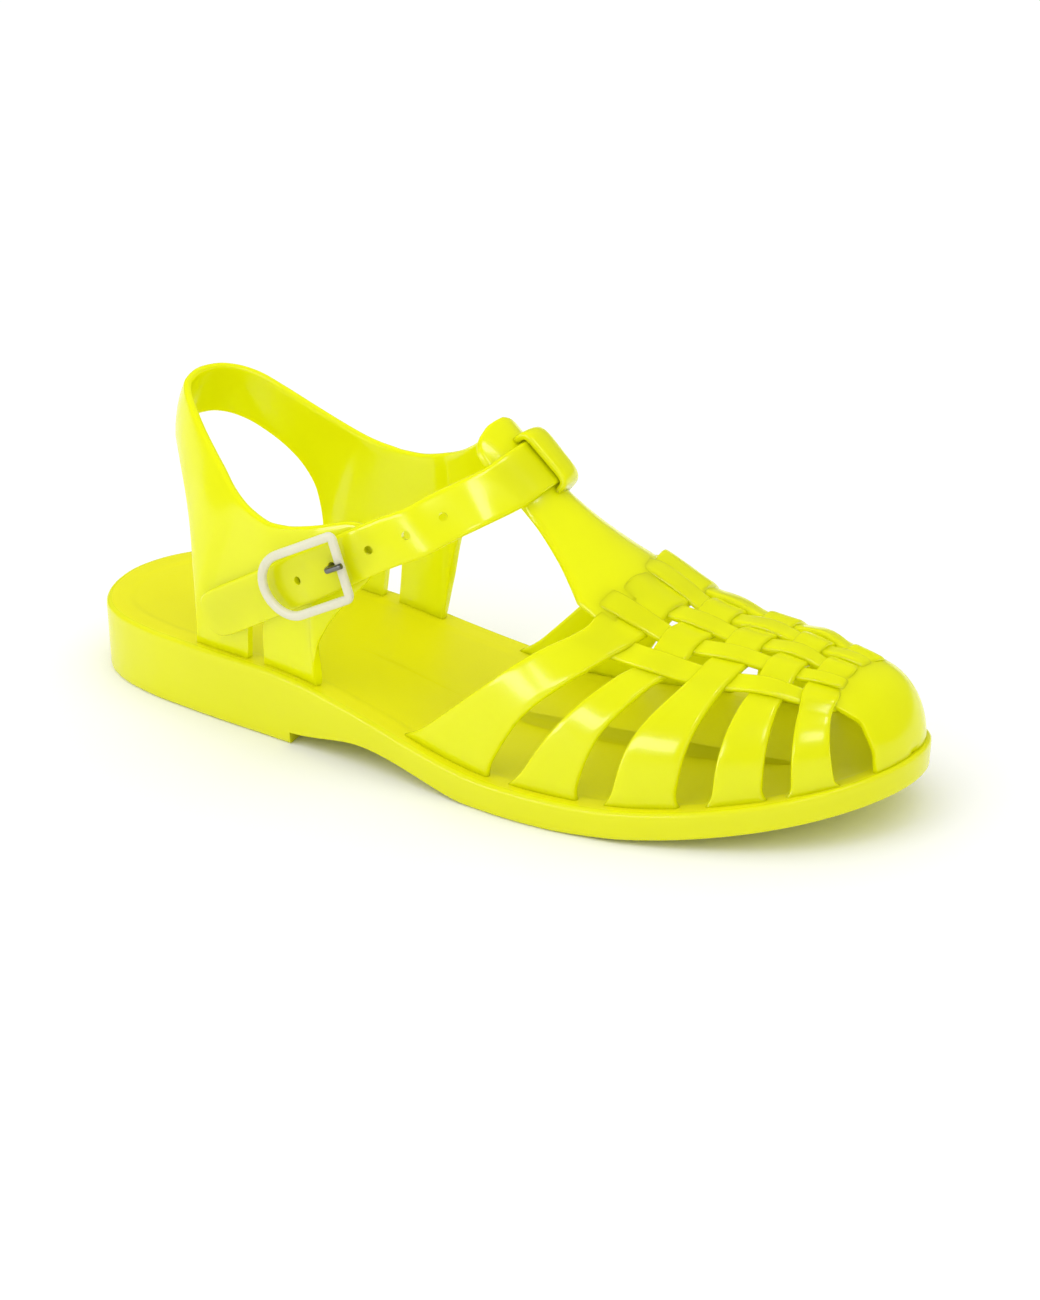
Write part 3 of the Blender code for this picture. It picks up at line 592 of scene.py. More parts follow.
@dataclass
class Outsole:
    """Sole with its rim, shallow footbed, heel, arch and toe spring."""

    edge_round: float = 1.1
    wall_draft: float = 0.3
    welt_width: float = 5.6
    footbed_step: float = 9.0
    footbed_depth: float = 0.5
    footbed_cup: float = 1.2
    rim_band: float = 1.7
    spine_inset: float = 43.0
    arch_rise: float = 6.5
    breast: float = 0.350
    arch_top: float = 0.43
    arch_end: float = 0.60
    breast_curve: float = 7.0
    breast_depth: float = 4.0
    breast_reach: float = 0.62
    spine_ends: tuple = (0.12, 0.88)
    under_steps: tuple = (16.0, 8.0, 4.0)
    lip_drop: float = 0.06
    steps: int = 150

    def rings(self) -> list[list[Vector]]:
        """Rings from the underside's spine over the wall and rim to the footbed's spine."""
        loop = LAST.outline(self.steps)
        r = self.edge_round
        rows = [(distance, 0.0, 0) for distance in (self.spine_inset, *self.under_steps)]
        rows += [(self.wall_draft + 1.6 * r, 0.0, 0), (self.wall_draft + 1.1 * r, 0.02 * r, 0)]
        rows += [(self.wall_draft + r * (1 - math.sin(t)), r * (1 - math.cos(t)), 0)
                 for t in (0.35, 0.7, 1.05, 1.4)]
        rows += [(self.wall_draft, 1.4 * r, 0), (self.wall_draft * 0.5, None, 1),
                 (0.0, -1.4 * r, 1)]
        rows += [(r * (1 - math.cos(t)), -r * (1 - math.sin(t)), 1)
                 for t in (0.25, 0.55, 0.85, 1.15, 1.4)]
        rows += [(r * 1.3, 0.0, 1), (2.4, 0.0, 1), (self.welt_width - 0.9, 0.0, 1),
                 (self.welt_width - 0.2, -self.lip_drop, 1)]
        depth = self.footbed_depth
        for k in range(1, 6):
            t = k / 6
            rows.append((self.welt_width + (self.footbed_step - self.welt_width) * t,
                         -depth * ease(t), 1))
        for k in range(0, 7):
            t = k / 6
            rows.append((self.footbed_step + (self.spine_inset - self.footbed_step) * t,
                         -depth - self.footbed_cup * math.sin(t * math.pi / 2), 1))
        rings = []
        for distance, lift, top in rows:
            ring = LAST.inset(loop, distance)
            if distance > self.footbed_step:
                edge = LAST.inset(loop, self.footbed_step)
                spine = np.clip(loop[:, 0], *(LAST.to_x(s) for s in self.spine_ends))
                share = ((distance - self.footbed_step)
                         / (0.5 * LAST.ball_width - self.footbed_step))
                middle = np.c_[spine, [LAST.centre_at(x) for x in spine]]
                ring = edge + (middle - edge) * share
            points = []
            for x, y in ring:
                if lift is None:
                    z = (LAST.rim_z(x) + LAST.floor_z(x)) / 2
                else:
                    z = (LAST.rim_z(x) if top else LAST.floor_z(x)) + lift
                points.append(Vector((x, y, z)))
            rings.append(points)
        return rings

    def arch_tool(self) -> bpy.types.Object:
        """Cutter for the arch, with a curved heel breast."""
        line = [(self.breast, -self.breast_depth)]
        line += [(self.breast + (self.arch_top - self.breast) * t,
                  self.arch_rise * (0.55 + 0.45 * ease(t))) for t in np.linspace(0, 1, 10)]
        line += [(self.arch_top + (self.arch_end - self.arch_top) * t,
                  self.arch_rise * (1 - ease(t))) for t in np.linspace(0.08, 0.92, 12)]
        line += [(self.arch_end, -0.2), (self.arch_end, -self.breast_depth)]
        rings = []
        for side in np.linspace(-1, 1, 25):
            bend = self.breast_curve * (1 - side * side)
            rings.append([Vector((
                LAST.to_x(s) - bend * max(0.0, 1.0 - (s - self.breast)
                                          / (self.arch_top - self.breast)),
                side * LAST.ball_width * self.breast_reach, z)) for s, z in line])
        bm = bmesh.new()
        tube_mesh(bm, rings)
        return cutter_object(bm)

    def build(self, palette: Palette) -> bpy.types.Object:
        """Build and dress the outsole."""
        bm = bmesh.new()
        tube_mesh(bm, self.rings())
        piece = finished("sole", bm, Slot.SOLE, palette.sole.material())
        carve(piece, self.arch_tool())
        # Upward faces inside the rim band take the footbed finish, whose warm tint is painted
        # shade.
        piece.data.materials.append(palette.footbed.material())
        for face in piece.data.polygons:
            x, y, z = (c / MM for c in face.center)
            outer, inner = LAST.sides_at(x, self.rim_band)
            if outer < y < inner and face.normal.z > 0.5:
                face.material_index = 1
        self.shade(piece)
        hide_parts("outsole")
        return piece

    @staticmethod
    def shade(piece: bpy.types.Object) -> None:
        """Smooth shading with a crisp heel breast."""
        piece.data.polygons.foreach_set("use_smooth", [True] * len(piece.data.polygons))
        bm = bmesh.new()
        bm.from_mesh(piece.data)
        for edge in bm.edges:
            if len(edge.link_faces) == 2 and edge.calc_face_angle() > math.radians(40):
                edge.smooth = False
        bm.to_mesh(piece.data)
        bm.free()


@dataclass
class Cage:
    """Woven vamp, toe cap, T-bar and keeper."""

    wall: float = 2.0
    edge: float = 0.85
    side_depth: float = 0.5
    over_depth: float = -0.75
    under_depth: float = 0.95
    middle_depth: float = 0.1
    knots: tuple = (0.0, 0.35, 0.50, 0.75, 1.0)
    cross_edges: tuple = (
        (0.697, 0.692, 0.652, 0.575, 0.488), (0.738, 0.729, 0.703, 0.641, 0.592),
        (0.757, 0.752, 0.728, 0.679, 0.630), (0.785, 0.780, 0.762, 0.725, 0.701),
        (0.808, 0.806, 0.788, 0.758, 0.742), (0.836, 0.836, 0.828, 0.815, 0.807),
        (0.861, 0.860, 0.854, 0.847, 0.843), (0.885, 0.887, 0.889, 0.890, 0.890),
        (0.903, 0.906, 0.909, 0.914, 0.917), (0.928, 0.935, 0.940, 0.948, 0.955),
        (0.936, 0.941, 0.966, 0.979, 0.981),
    )
    strip_edges: tuple = (
        (-0.420, -0.335), (-0.260, -0.175), (-0.108, -0.012), (0.045, 0.140), (0.200, 0.295),
    )
    keeper_wall: float = 2.3
    keeper_leg: float = 1.8
    keeper_sink: float = 0.9
    keeper_span: tuple = (-0.10, 0.90)
    tuck: float = 0.006
    knot_run: float = 0.5
    joined_start: tuple = (-0.8, 1.1)
    joined_end: tuple = ((9.6, 0.25), (10.6, 1.1))
    tucked_start: tuple = (-0.2, 1.2)
    tucked_end: tuple = ((9.2, 1.2),)
    cap_rim: tuple = (0.36, 0.12)
    cap_depth: float = 0.6
    foot_lap: float = 0.014
    crown_powers: tuple = (0.42, 0.25)
    flare_start: float = 0.92
    weave_end: tuple = (0.30, 0.20)
    far_start: tuple = (0.40, 0.25)
    foot_flare: float = 0.008
    far_rear: tuple = (0.0, 0.018, 0.028, 0.017, 0.004)
    weave_spread: float = 0.0035
    strip_spread: float = 0.010
    far_spread: float = 0.006

    def edge_at(self, row: Sequence[float], girth: float) -> float:
        """Station of a cross strap's edge at a share of half girth."""
        return float(curve(self.knots, row, min(1.0, abs(girth))))

    def is_over(self, strap: int, strip: int) -> bool:
        """Whether a cross strap, counted from 1, passes over a lengthwise strip."""
        return (strap + strip) % 2 == 0

    def cross_wave(self, strap: int) -> tuple[list[float], list[float]]:
        """Shares of half girth and depths of a cross strap along its run."""
        places, depths = [-1.0, -0.50], [self.side_depth] * 2
        for k, (low, high) in enumerate(self.strip_edges):
            places.append((low + high) / 2)
            over = self.is_over(strap, k + 1)
            depths.append(self.over_depth if over else self.under_depth)
            if k < len(self.strip_edges) - 1:
                places.append((high + self.strip_edges[k + 1][0]) / 2)
                depths.append(self.middle_depth)
        return places + [0.38, 1.0], depths + [self.side_depth] * 2

    def cross_strap(self, strap: int, finish: bpy.types.Material) -> bpy.types.Object:
        """Build one cross strap, which runs from rim to rim."""
        rear = self.cross_edges[2 * (strap - 1)]
        front = self.cross_edges[2 * strap - 1]
        places, depths = self.cross_wave(strap)

        def surface(girth: float, share: float, depth: float) -> Vector:
            low = max(0.0, (abs(girth) - self.flare_start) / (1 - self.flare_start))
            weave, far = self.weave_end, self.far_start
            flare = self.foot_flare * low ** 2
            flare += self.weave_spread * (1 - ease((abs(girth) - weave[0]) / weave[1]))
            flare += self.far_spread * ease((girth - far[0]) / far[1])
            start = self.edge_at(rear, girth) - flare
            if strap == 1 and girth > 0:
                start -= self.edge_at(self.far_rear, girth)
            stop = self.edge_at(front, girth) + flare
            base = float(curve(places, depths, girth))
            return LAST.vamp_point(start + (stop - start) * share, girth, base + depth)

        rows = np.linspace(-1.0, 1.0, 91)
        bm = bmesh.new()
        tube_mesh(bm, strip_rings(surface, rows, self.wall, self.edge, 8))
        return finished(f"cross_strap_{strap}", bm, Slot.UPPER, finish)

    def line_at(self, run: float, girth: float) -> float:
        """Station at a run over the rows of strap edges, at a share of half girth."""
        stations = [self.edge_at(row, girth) for row in self.cross_edges]
        tip = stations[-1] + 0.03
        return float(curve(range(-1, len(stations) + 1),
                           [stations[0] - 0.02] + stations + [tip], run))

    def strip(self, strip: int, finish: bpy.types.Material) -> bpy.types.Object:
        """Build one lengthwise strip, which weaves through the cross straps."""
        low, high = self.strip_edges[strip - 1]
        low, high = low - self.strip_spread, high + self.strip_spread
        joined = not self.is_over(1, strip)
        knots = [self.joined_start if joined else self.tucked_start,
                 (self.knot_run, self.over_depth if joined else self.under_depth)]
        for k in range(1, 5):
            over = not self.is_over(k + 1, strip)
            knots += [(2 * k - self.knot_run, self.middle_depth),
                      (2 * k + self.knot_run, self.over_depth if over else self.under_depth)]
        knots += self.joined_end if joined else self.tucked_end
        places, depths = zip(*knots)

        def surface(run: float, share: float, depth: float) -> Vector:
            girth = low + (high - low) * share
            base = float(curve(places, depths, run))
            return LAST.vamp_point(self.line_at(run, girth), girth, base + depth)

        rows = np.linspace(places[0], places[-1], 101)
        bm = bmesh.new()
        tube_mesh(bm, strip_rings(surface, rows, self.wall, self.edge, 6))
        return finished(f"long_strip_{strip}", bm, Slot.UPPER, finish)

    def toe_cap(self, finish: bpy.types.Material) -> bpy.types.Object:
        """Build the closed toe, tucked under the last cross strap."""
        tip = 1 - LAST.toe_inset / LAST.length
        last_front = self.cross_edges[9]
        rim = self.cross_edges[10]

        def rear(girth: float) -> float:
            tucked = self.edge_at(last_front, girth) - self.tuck
            free = self.edge_at(rim, girth)
            begin, run_out = self.cap_rim
            return tucked + (free - tucked) * ease((abs(girth) - begin) / run_out)

        def surface(girth: float, share: float, depth: float) -> Vector:
            start = rear(girth)
            station = start + (tip - start) * share
            return LAST.vamp_point(station, girth, self.side_depth * self.cap_depth + depth)

        rings = strip_rings(surface, np.linspace(-1.0, 1.0, 121), self.wall, self.edge, 22)
        bm = bmesh.new()
        tube_mesh(bm, rings)
        return finished("toe_cap", bm, Slot.UPPER, finish)

    def tbar(self, finish: bpy.types.Material) -> bpy.types.Object:
        """Build the T-bar, whose foot spreads into the first cross strap."""
        start, stop = self.strip_edges[0][1], self.strip_edges[-1][0]
        middle, reach = (start + stop) / 2, (stop - start) / 2
        stations = [row[0] for row in LAST.tbar_rows]
        foot = len(stations)

        def surface(run: float, share: float, depth: float) -> Vector:
            side = 2 * share - 1
            if run <= foot - 1:
                station = float(np.interp(run, range(foot), stations))
                return LAST.tbar_point(station, side, depth)
            girth = middle + side * reach
            lap = self.edge_at(self.cross_edges[0], girth) + self.foot_lap
            joint = LAST.vamp_point(lap, girth, self.side_depth * 0.3 + depth)
            top = LAST.tbar_point(stations[-1], side, depth)
            return top.lerp(joint, run - foot + 1)

        rows = list(np.linspace(0.0, 2.0, 13)) + list(np.linspace(2.25, foot - 1, 44))
        rows += list(np.linspace(foot - 0.85, foot, 8))
        rings = strip_rings(surface, rows, self.wall, self.edge, 16)
        bm = bmesh.new()
        tube_mesh(bm, rings)
        return finished("t_bar", bm, Slot.UPPER, finish)

    def keeper(self, finish: bpy.types.Material) -> bpy.types.Object:
        """Build the loop on the T-bar that holds the strap down."""
        half = (STRAP.width / 2 + 2 * LAST.clearance) / LAST.length * STRAP.lean
        leg = self.keeper_leg / LAST.length * STRAP.lean
        lift = STRAP.lift + STRAP.wall + 1.5 * LAST.clearance
        crown = lift + self.keeper_wall
        low, high = self.keeper_span

        def corner(turn: float, wide: float, tall: float, power: float) -> tuple[float, float]:
            c, s = math.cos(turn), math.sin(turn)
            return (-math.copysign(abs(c) ** power, c) * wide,
                    -self.keeper_sink + abs(s) ** power * (tall + self.keeper_sink))

        def surface(turn: float, share: float, depth: float) -> Vector:
            out = corner(turn, half + leg, crown, self.crown_powers[0])
            ins = corner(turn, half, lift, self.crown_powers[1])
            t = depth / self.keeper_wall
            station = STRAP.on_tbar + out[0] + (ins[0] - out[0]) * t
            height = out[1] + (ins[1] - out[1]) * t
            return LAST.tbar_over(station, low + (high - low) * share, height)

        rows = np.linspace(0.0, math.pi, 45)
        bm = bmesh.new()
        tube_mesh(bm, strip_rings(surface, rows, self.keeper_wall, 0.8, 10))
        return finished("keeper", bm, Slot.UPPER, finish)

    def build(self, palette: Palette) -> list[bpy.types.Object]:
        """Build and dress every piece of the cage."""
        material = palette.upper.material()
        pieces = [self.cross_strap(k, material) for k in range(1, 6)]
        pieces += [self.strip(k, material) for k in range(1, 6)]
        pieces += [self.toe_cap(material), self.tbar(material), self.keeper(material)]
        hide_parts("upper_vamp")
        return pieces


@dataclass
class Quarters:
    """Quarters, heel sling and ankle strap as one moulded ribbon."""

    wall: float = 2.2
    bulge: float = 1.6
    sling_bulge: float = 0.8
    edge: float = 0.85
    tail_slope: float = 0.575
    tail_height: float = 0.685
    slot_top: float = 0.55
    slot_proud: float = 0.35
    slot_reach: float = 9.0
    slot_shares: tuple = (-0.3, 0.0, 0.2, 0.4, 0.6)
    swell_start: tuple = (0.20, 0.13)
    heel_back: float = 0.26
    heel_pull: float = 0.6
    tail_rest: float = 2.5
    sling_rows: tuple = (
        (0.120, 0.943, 0.000, 0.105, 0.786, 0.000), (0.125, 0.938, 0.072, 0.109, 0.781, 0.070),
        (0.138, 0.925, 0.127, 0.119, 0.768, 0.123), (0.157, 0.901, 0.171, 0.134, 0.743, 0.168),
        (0.182, 0.858, 0.212, 0.151, 0.701, 0.214), (0.211, 0.810, 0.250, 0.170, 0.643, 0.262),
        (0.232, 0.777, 0.275, 0.186, 0.571, 0.302), (0.248, 0.751, 0.298, 0.196, 0.484, 0.330),
        (0.264, 0.729, 0.317, 0.200, 0.363, 0.341),
    )
    leg_tops: tuple = (
        (0.278, 0.714, 0.331), (0.292, 0.704, 0.342), (0.304, 0.698, 0.351),
        (0.318, 0.693, 0.357), (0.340, 0.696, 0.357), (0.364, 0.709, 0.354),
    )
    outer_feet: tuple = (0.192, 0.232, 0.268, 0.292, 0.328, 0.365)
    inner_feet: tuple = (0.196, 0.248, 0.296, 0.320, 0.347, 0.378)
    outer_front: tuple = (
        (0.388, 0.727, 0.351, 0.374, 0.330, 0.348), (0.408, 0.745, 0.346, 0.391, 0.418, 0.350),
        (0.426, 0.755, 0.341, 0.417, 0.509, 0.345), (0.441, 0.750, 0.336, 0.444, 0.588, 0.338),
        (0.450, 0.725, 0.333, 0.453, 0.630, 0.334),
    )
    inner_front: tuple = (
        (0.380, 0.721, 0.356, 0.385, 0.308, 0.341), (0.394, 0.736, 0.346, 0.392, 0.407, 0.346),
        (0.410, 0.758, 0.327, 0.403, 0.500, 0.351), (0.428, 0.789, 0.300, 0.424, 0.588, 0.350),
        (0.450, 0.829, 0.266, 0.460, 0.672, 0.318),
    )
    inner_run: tuple = (
        (0.496, 0.207, 0.797, (6.3, 3.2, -11.6)), (0.530, 0.152, 0.838, (8.0, 3.0, -10.6)),
    )
    top_shares: tuple = (1.12, 0.90, 0.65, 0.40, 0.15, -0.10, -0.40, -0.70, -0.95, -1.12)
    outer_run: tuple = (
        (0.540, -0.233, 0.823, (8.5, -1.6, -10.3)), (0.516, -0.306, 0.787, (7.2, -1.8, -10.9)),
        (0.496, -0.355, 0.751, (6.6, -1.0, -11.2)), (0.470, -0.388, 0.719, (6.5, -0.3, -11.3)),
    )
    tail_stations: tuple = (
        0.446, 0.437, 0.428, 0.416, 0.404, 0.390, 0.376, 0.360, 0.345, 0.330,
        0.315, 0.300, 0.285, 0.270, 0.255, 0.243, 0.234, 0.228, 0.2225,
    )
    tail_widths: tuple = (1.0,) * 15 + (0.985, 0.93, 0.82, 0.50)
    tail_holes: tuple = (0.518, 0.488, 0.4515, 0.366, 0.411)
    across: tuple = (0.0, 0.14, 0.28, 0.42, 0.55, 0.78, 1.0)
    row_step: float = 1.3
    grid: list = field(default_factory=list)

    def edge_points(self, row: Sequence[float], side: Side) -> tuple[Vector, Vector]:
        """Upper and lower edge point of a row on one side of the centre line."""
        ends = []
        for s, h, w in (row[:3], row[3:]):
            x = LAST.to_x(s)
            ends.append(Vector((x, LAST.centre_at(x) + side.value * w * LAST.ball_width,
                                h * LAST.instep_height)))
        return ends[0], ends[1]

    def leg_points(self, top: Sequence[float], foot: float, side: Side) -> tuple[Vector, Vector]:
        """Row of a quarter's leg, from the collar down to the outsole's rim."""
        upper, _ = self.edge_points((*top, *top), side)
        x = LAST.to_x(foot)
        outer, inner = LAST.sides_at(x, LAST.foot_inset + self.wall / 2)
        y = outer if side is Side.OUTER else inner
        return upper, Vector((x, y, LAST.rim_z(x) + LAST.seat))

    @staticmethod
    def strap_points(centre: Vector, across: Sequence[float],
                     width: float) -> tuple[Vector, Vector]:
        """Two edge points of the strap around its centre."""
        half = Vector(across).normalized() * width / 2
        return centre - half, centre + half

    def free_rows(self, run: Sequence) -> list:
        """Rows of the strap beside the T-bar, where it lies on nothing."""
        rows = []
        for s, w, h, across in run:
            centre = Vector((LAST.to_x(s), w * LAST.ball_width, h * LAST.instep_height))
            rows.append((*self.strap_points(centre, across, STRAP.width), 0.0))
        return rows

    def sections(self) -> tuple[list, list, list]:
        """Rows of the outer quarter, the inner quarter and the strap."""
        outer, inner = [], []
        for row in self.sling_rows:
            begin, run_out = self.swell_start
            swell = max(self.sling_bulge, self.bulge * ease((row[5] - begin) / run_out))
            outer.append((*self.edge_points(row, Side.OUTER), swell))
            inner.append((*self.edge_points(row, Side.INNER), swell))
        for k, top in enumerate(self.leg_tops):
            outer.append((*self.leg_points(top, self.outer_feet[k], Side.OUTER), self.bulge))
            inner.append((*self.leg_points(top, self.inner_feet[k], Side.INNER), self.bulge))
        for k, row in enumerate(self.outer_front):
            outer.append((*self.edge_points(row, Side.OUTER), self.bulge * (1 - 0.2 * k)))
        for k, row in enumerate(self.inner_front):
            inner.append((*self.edge_points(row, Side.INNER), self.bulge * (0.8 - 0.2 * k)))
        strap = self.free_rows(self.inner_run)
        lift = STRAP.lift + STRAP.wall / 2
        spread = STRAP.width / 2 / LAST.length * STRAP.lean
        for share in self.top_shares:
            ends = [LAST.tbar_over(STRAP.on_tbar + d * spread, share, lift)
                    for d in (-1, 1)]
            strap.append((*ends, 0.0))
        strap += self.free_rows(self.outer_run)
        slope = Vector((1.0, 0.0, self.tail_slope)).normalized()
        for s, width in zip(self.tail_stations, self.tail_widths):
            x = LAST.to_x(s)
            z = (self.tail_height * LAST.instep_height
                 + (x - LAST.to_x(self.tail_stations[0])) * self.tail_slope)
            strap.append((*self.strap_points(Vector((x, 0.0, z)), (slope.z, 0.0, -slope.x),
                                             STRAP.width * width), 0.0))
        return outer, inner, strap

    @staticmethod
    def wall_y(grid: list, x: float, z: float) -> float:
        """Y of the outer quarter's centre surface at x and z."""
        best, nearest = None, (math.inf, 0.0)
        for low, high in zip(grid[:-1], grid[1:]):
            for c in range(len(low) - 1):
                p, q, m, n = low[c], low[c + 1], high[c + 1], high[c]
                gap = (p.x - x) ** 2 + (p.z - z) ** 2
                nearest = min(nearest, (gap, p.y))
                for a, b, d in ((p, q, m), (p, m, n)):
                    area = (b.x - a.x) * (d.z - a.z) - (d.x - a.x) * (b.z - a.z)
                    if abs(area) < 1e-9:
                        continue
                    u = ((x - a.x) * (d.z - a.z) - (d.x - a.x) * (z - a.z)) / area
                    v = ((b.x - a.x) * (z - a.z) - (x - a.x) * (b.z - a.z)) / area
                    if u >= -1e-6 and v >= -1e-6 and u + v <= 1 + 1e-6:
                        y = a.y + u * (b.y - a.y) + v * (d.y - a.y)
                        best = y if best is None else min(best, y)
        return nearest[1] if best is None else best

    def centre_grid(self) -> tuple[list, int]:
        """Centre surface of the ribbon as rows of points, and the strap's first row."""
        outer, inner, strap = self.sections()
        rows = outer[::-1] + inner[1:] + strap
        grid = []
        for upper, lower, swell in rows:
            line = []
            for v in self.across:
                point = upper.lerp(lower, v)
                behind = min(0.0, point.x - LAST.to_x(self.heel_back))
                away = Vector((behind * self.heel_pull,
                               point.y - LAST.centre_at(point.x), 0.0)).normalized()
                line.append(point + away * (swell * 4 * v * (1 - v)))
            grid.append(line)
        rest = self.wall / 2 + self.tail_rest * LAST.clearance + STRAP.wall / 2
        for line in grid[-len(self.tail_stations):]:
            for point in line:
                point.y = self.wall_y(grid[:len(outer)], point.x, point.z) - rest
        return grid, len(outer) + len(inner) - 1

    def rings(self, grid: list, strap_start: int) -> list[list[Vector]]:
        """Rings of the ribbon with rounded edges."""
        net = np.array([[tuple(p) for p in line] for line in grid])
        middle = net[:, 3]
        run = np.r_[0, np.cumsum(np.linalg.norm(np.diff(middle, axis=0), axis=1))]
        count = int(run[-1] / self.row_step)
        fine = np.unique(np.r_[np.linspace(0, run[-1], count), run[-6:]])
        lines = curve(run, net, fine)
        walls = np.interp(fine, [0, run[strap_start - 2], run[strap_start + 1], run[-1]],
                          [self.wall, self.wall, STRAP.wall, STRAP.wall])
        vs = np.linspace(0, 1, 41)
        mesh = np.moveaxis(curve(self.across, np.moveaxis(lines, 1, 0), vs), 0, 1)
        along = np.gradient(mesh, axis=0)
        cross = np.gradient(mesh, axis=1)
        normal = np.cross(along, cross)
        normal /= np.linalg.norm(normal, axis=2)[..., None]
        rings = []
        for k in range(len(fine)):
            width = float(np.linalg.norm(mesh[k, -1] - mesh[k, 0]))
            ring = []
            for v, d in rounded_profile(width, walls[k], self.edge, 18):
                point = np.array([np.interp(v, vs, mesh[k, :, a]) for a in range(3)])
                face = np.array([np.interp(v, vs, normal[k, :, a]) for a in range(3)])
                ring.append(Vector(point + face * (d - walls[k] / 2)))
            rings.append(ring)
        return rings

    def slot_tool(self, first: int, grid: list, side: Side) -> bpy.types.Object:
        """Cutter for a quarter's slot, rounded at its top."""
        a, b = grid[first], grid[first + 1]
        col = self.across.index(self.slot_top)
        left, right = (a, b) if a[-1].x < b[-1].x else (b, a)
        top = (left[col] + right[col]) / 2
        width = (right[col] - left[col]).xz.length
        points = [left[-1].lerp(left[col], t) for t in self.slot_shares]
        for k in range(0, 13):
            turn = math.pi * (1 - k / 12)
            points.append(Vector((top.x + width / 2 * math.cos(turn), 0.0,
                                  top.z - width / 2 + width / 2 * math.sin(turn))))
        points += [right[-1].lerp(right[col], t) for t in self.slot_shares[::-1]]
        wall = grid[max(0, first - 4):first + 6]
        depths = [self.wall_y(wall, p.x, p.z) for p in points]
        proud = self.wall / 2 + self.slot_proud
        rings = [[Vector((p.x, y + side.value * d, p.z)) for p, y in zip(points, depths)]
                 for d in (-self.slot_reach, proud)]
        bm = bmesh.new()
        tube_mesh(bm, rings)
        return cutter_object(bm)

    def strap_spot(self, station: float) -> tuple[Vector, Vector]:
        """Point on the strap's centre line at a station, and its outward normal."""
        strap = self.grid[-len(self.tail_stations) - len(self.outer_run):]
        x = LAST.to_x(station)
        share = (0.5 - self.across[3]) / (self.across[4] - self.across[3])
        centres = [row[3].lerp(row[4], share) for row in strap]
        for k in range(len(centres) - 1):
            a, b = centres[k], centres[k + 1]
            if b.x <= x <= a.x:
                t = (a.x - x) / (a.x - b.x)
                spread = (strap[k][-1] - strap[k][0]).lerp(strap[k + 1][-1] - strap[k + 1][0], t)
                normal = spread.cross(b - a).normalized()
                return a.lerp(b, t), -normal if normal.y > 0 else normal
        raise ValueError("station off the strap")

    def hole_tool(self) -> bpy.types.Object:
        """Cutter for the strap's holes."""
        bm = bmesh.new()
        radius = STRAP.hole / 2 * MM
        for station in self.tail_holes:
            point, normal = self.strap_spot(station)
            turn = normal.to_track_quat("Z", "Y").to_matrix().to_4x4()
            bmesh.ops.create_cone(
                bm, cap_ends=True, segments=28, radius1=radius, radius2=radius,
                depth=STRAP.wall * 1.5 * MM,
                matrix=Matrix.Translation(point * MM) @ turn)
        return cutter_object(bm)

    def build(self, palette: Palette) -> bpy.types.Object:
        """Build and dress the ribbon."""
        self.grid, strap_start = self.centre_grid()
        bm = bmesh.new()
        tube_mesh(bm, self.rings(self.grid, strap_start))
        piece = finished("quarters_and_strap", bm, Slot.UPPER, palette.upper.material())
        hub = len(self.sling_rows) + len(self.leg_tops) + len(self.outer_front) - 1
        reach = len(self.sling_rows) + 2
        carve(piece, self.slot_tool(hub - reach - 1, self.grid, Side.OUTER))
        carve(piece, self.slot_tool(hub + reach, self.grid, Side.INNER))
        carve(piece, self.hole_tool())
        Outsole.shade(piece)
        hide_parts("upper_quarter")
        return piece


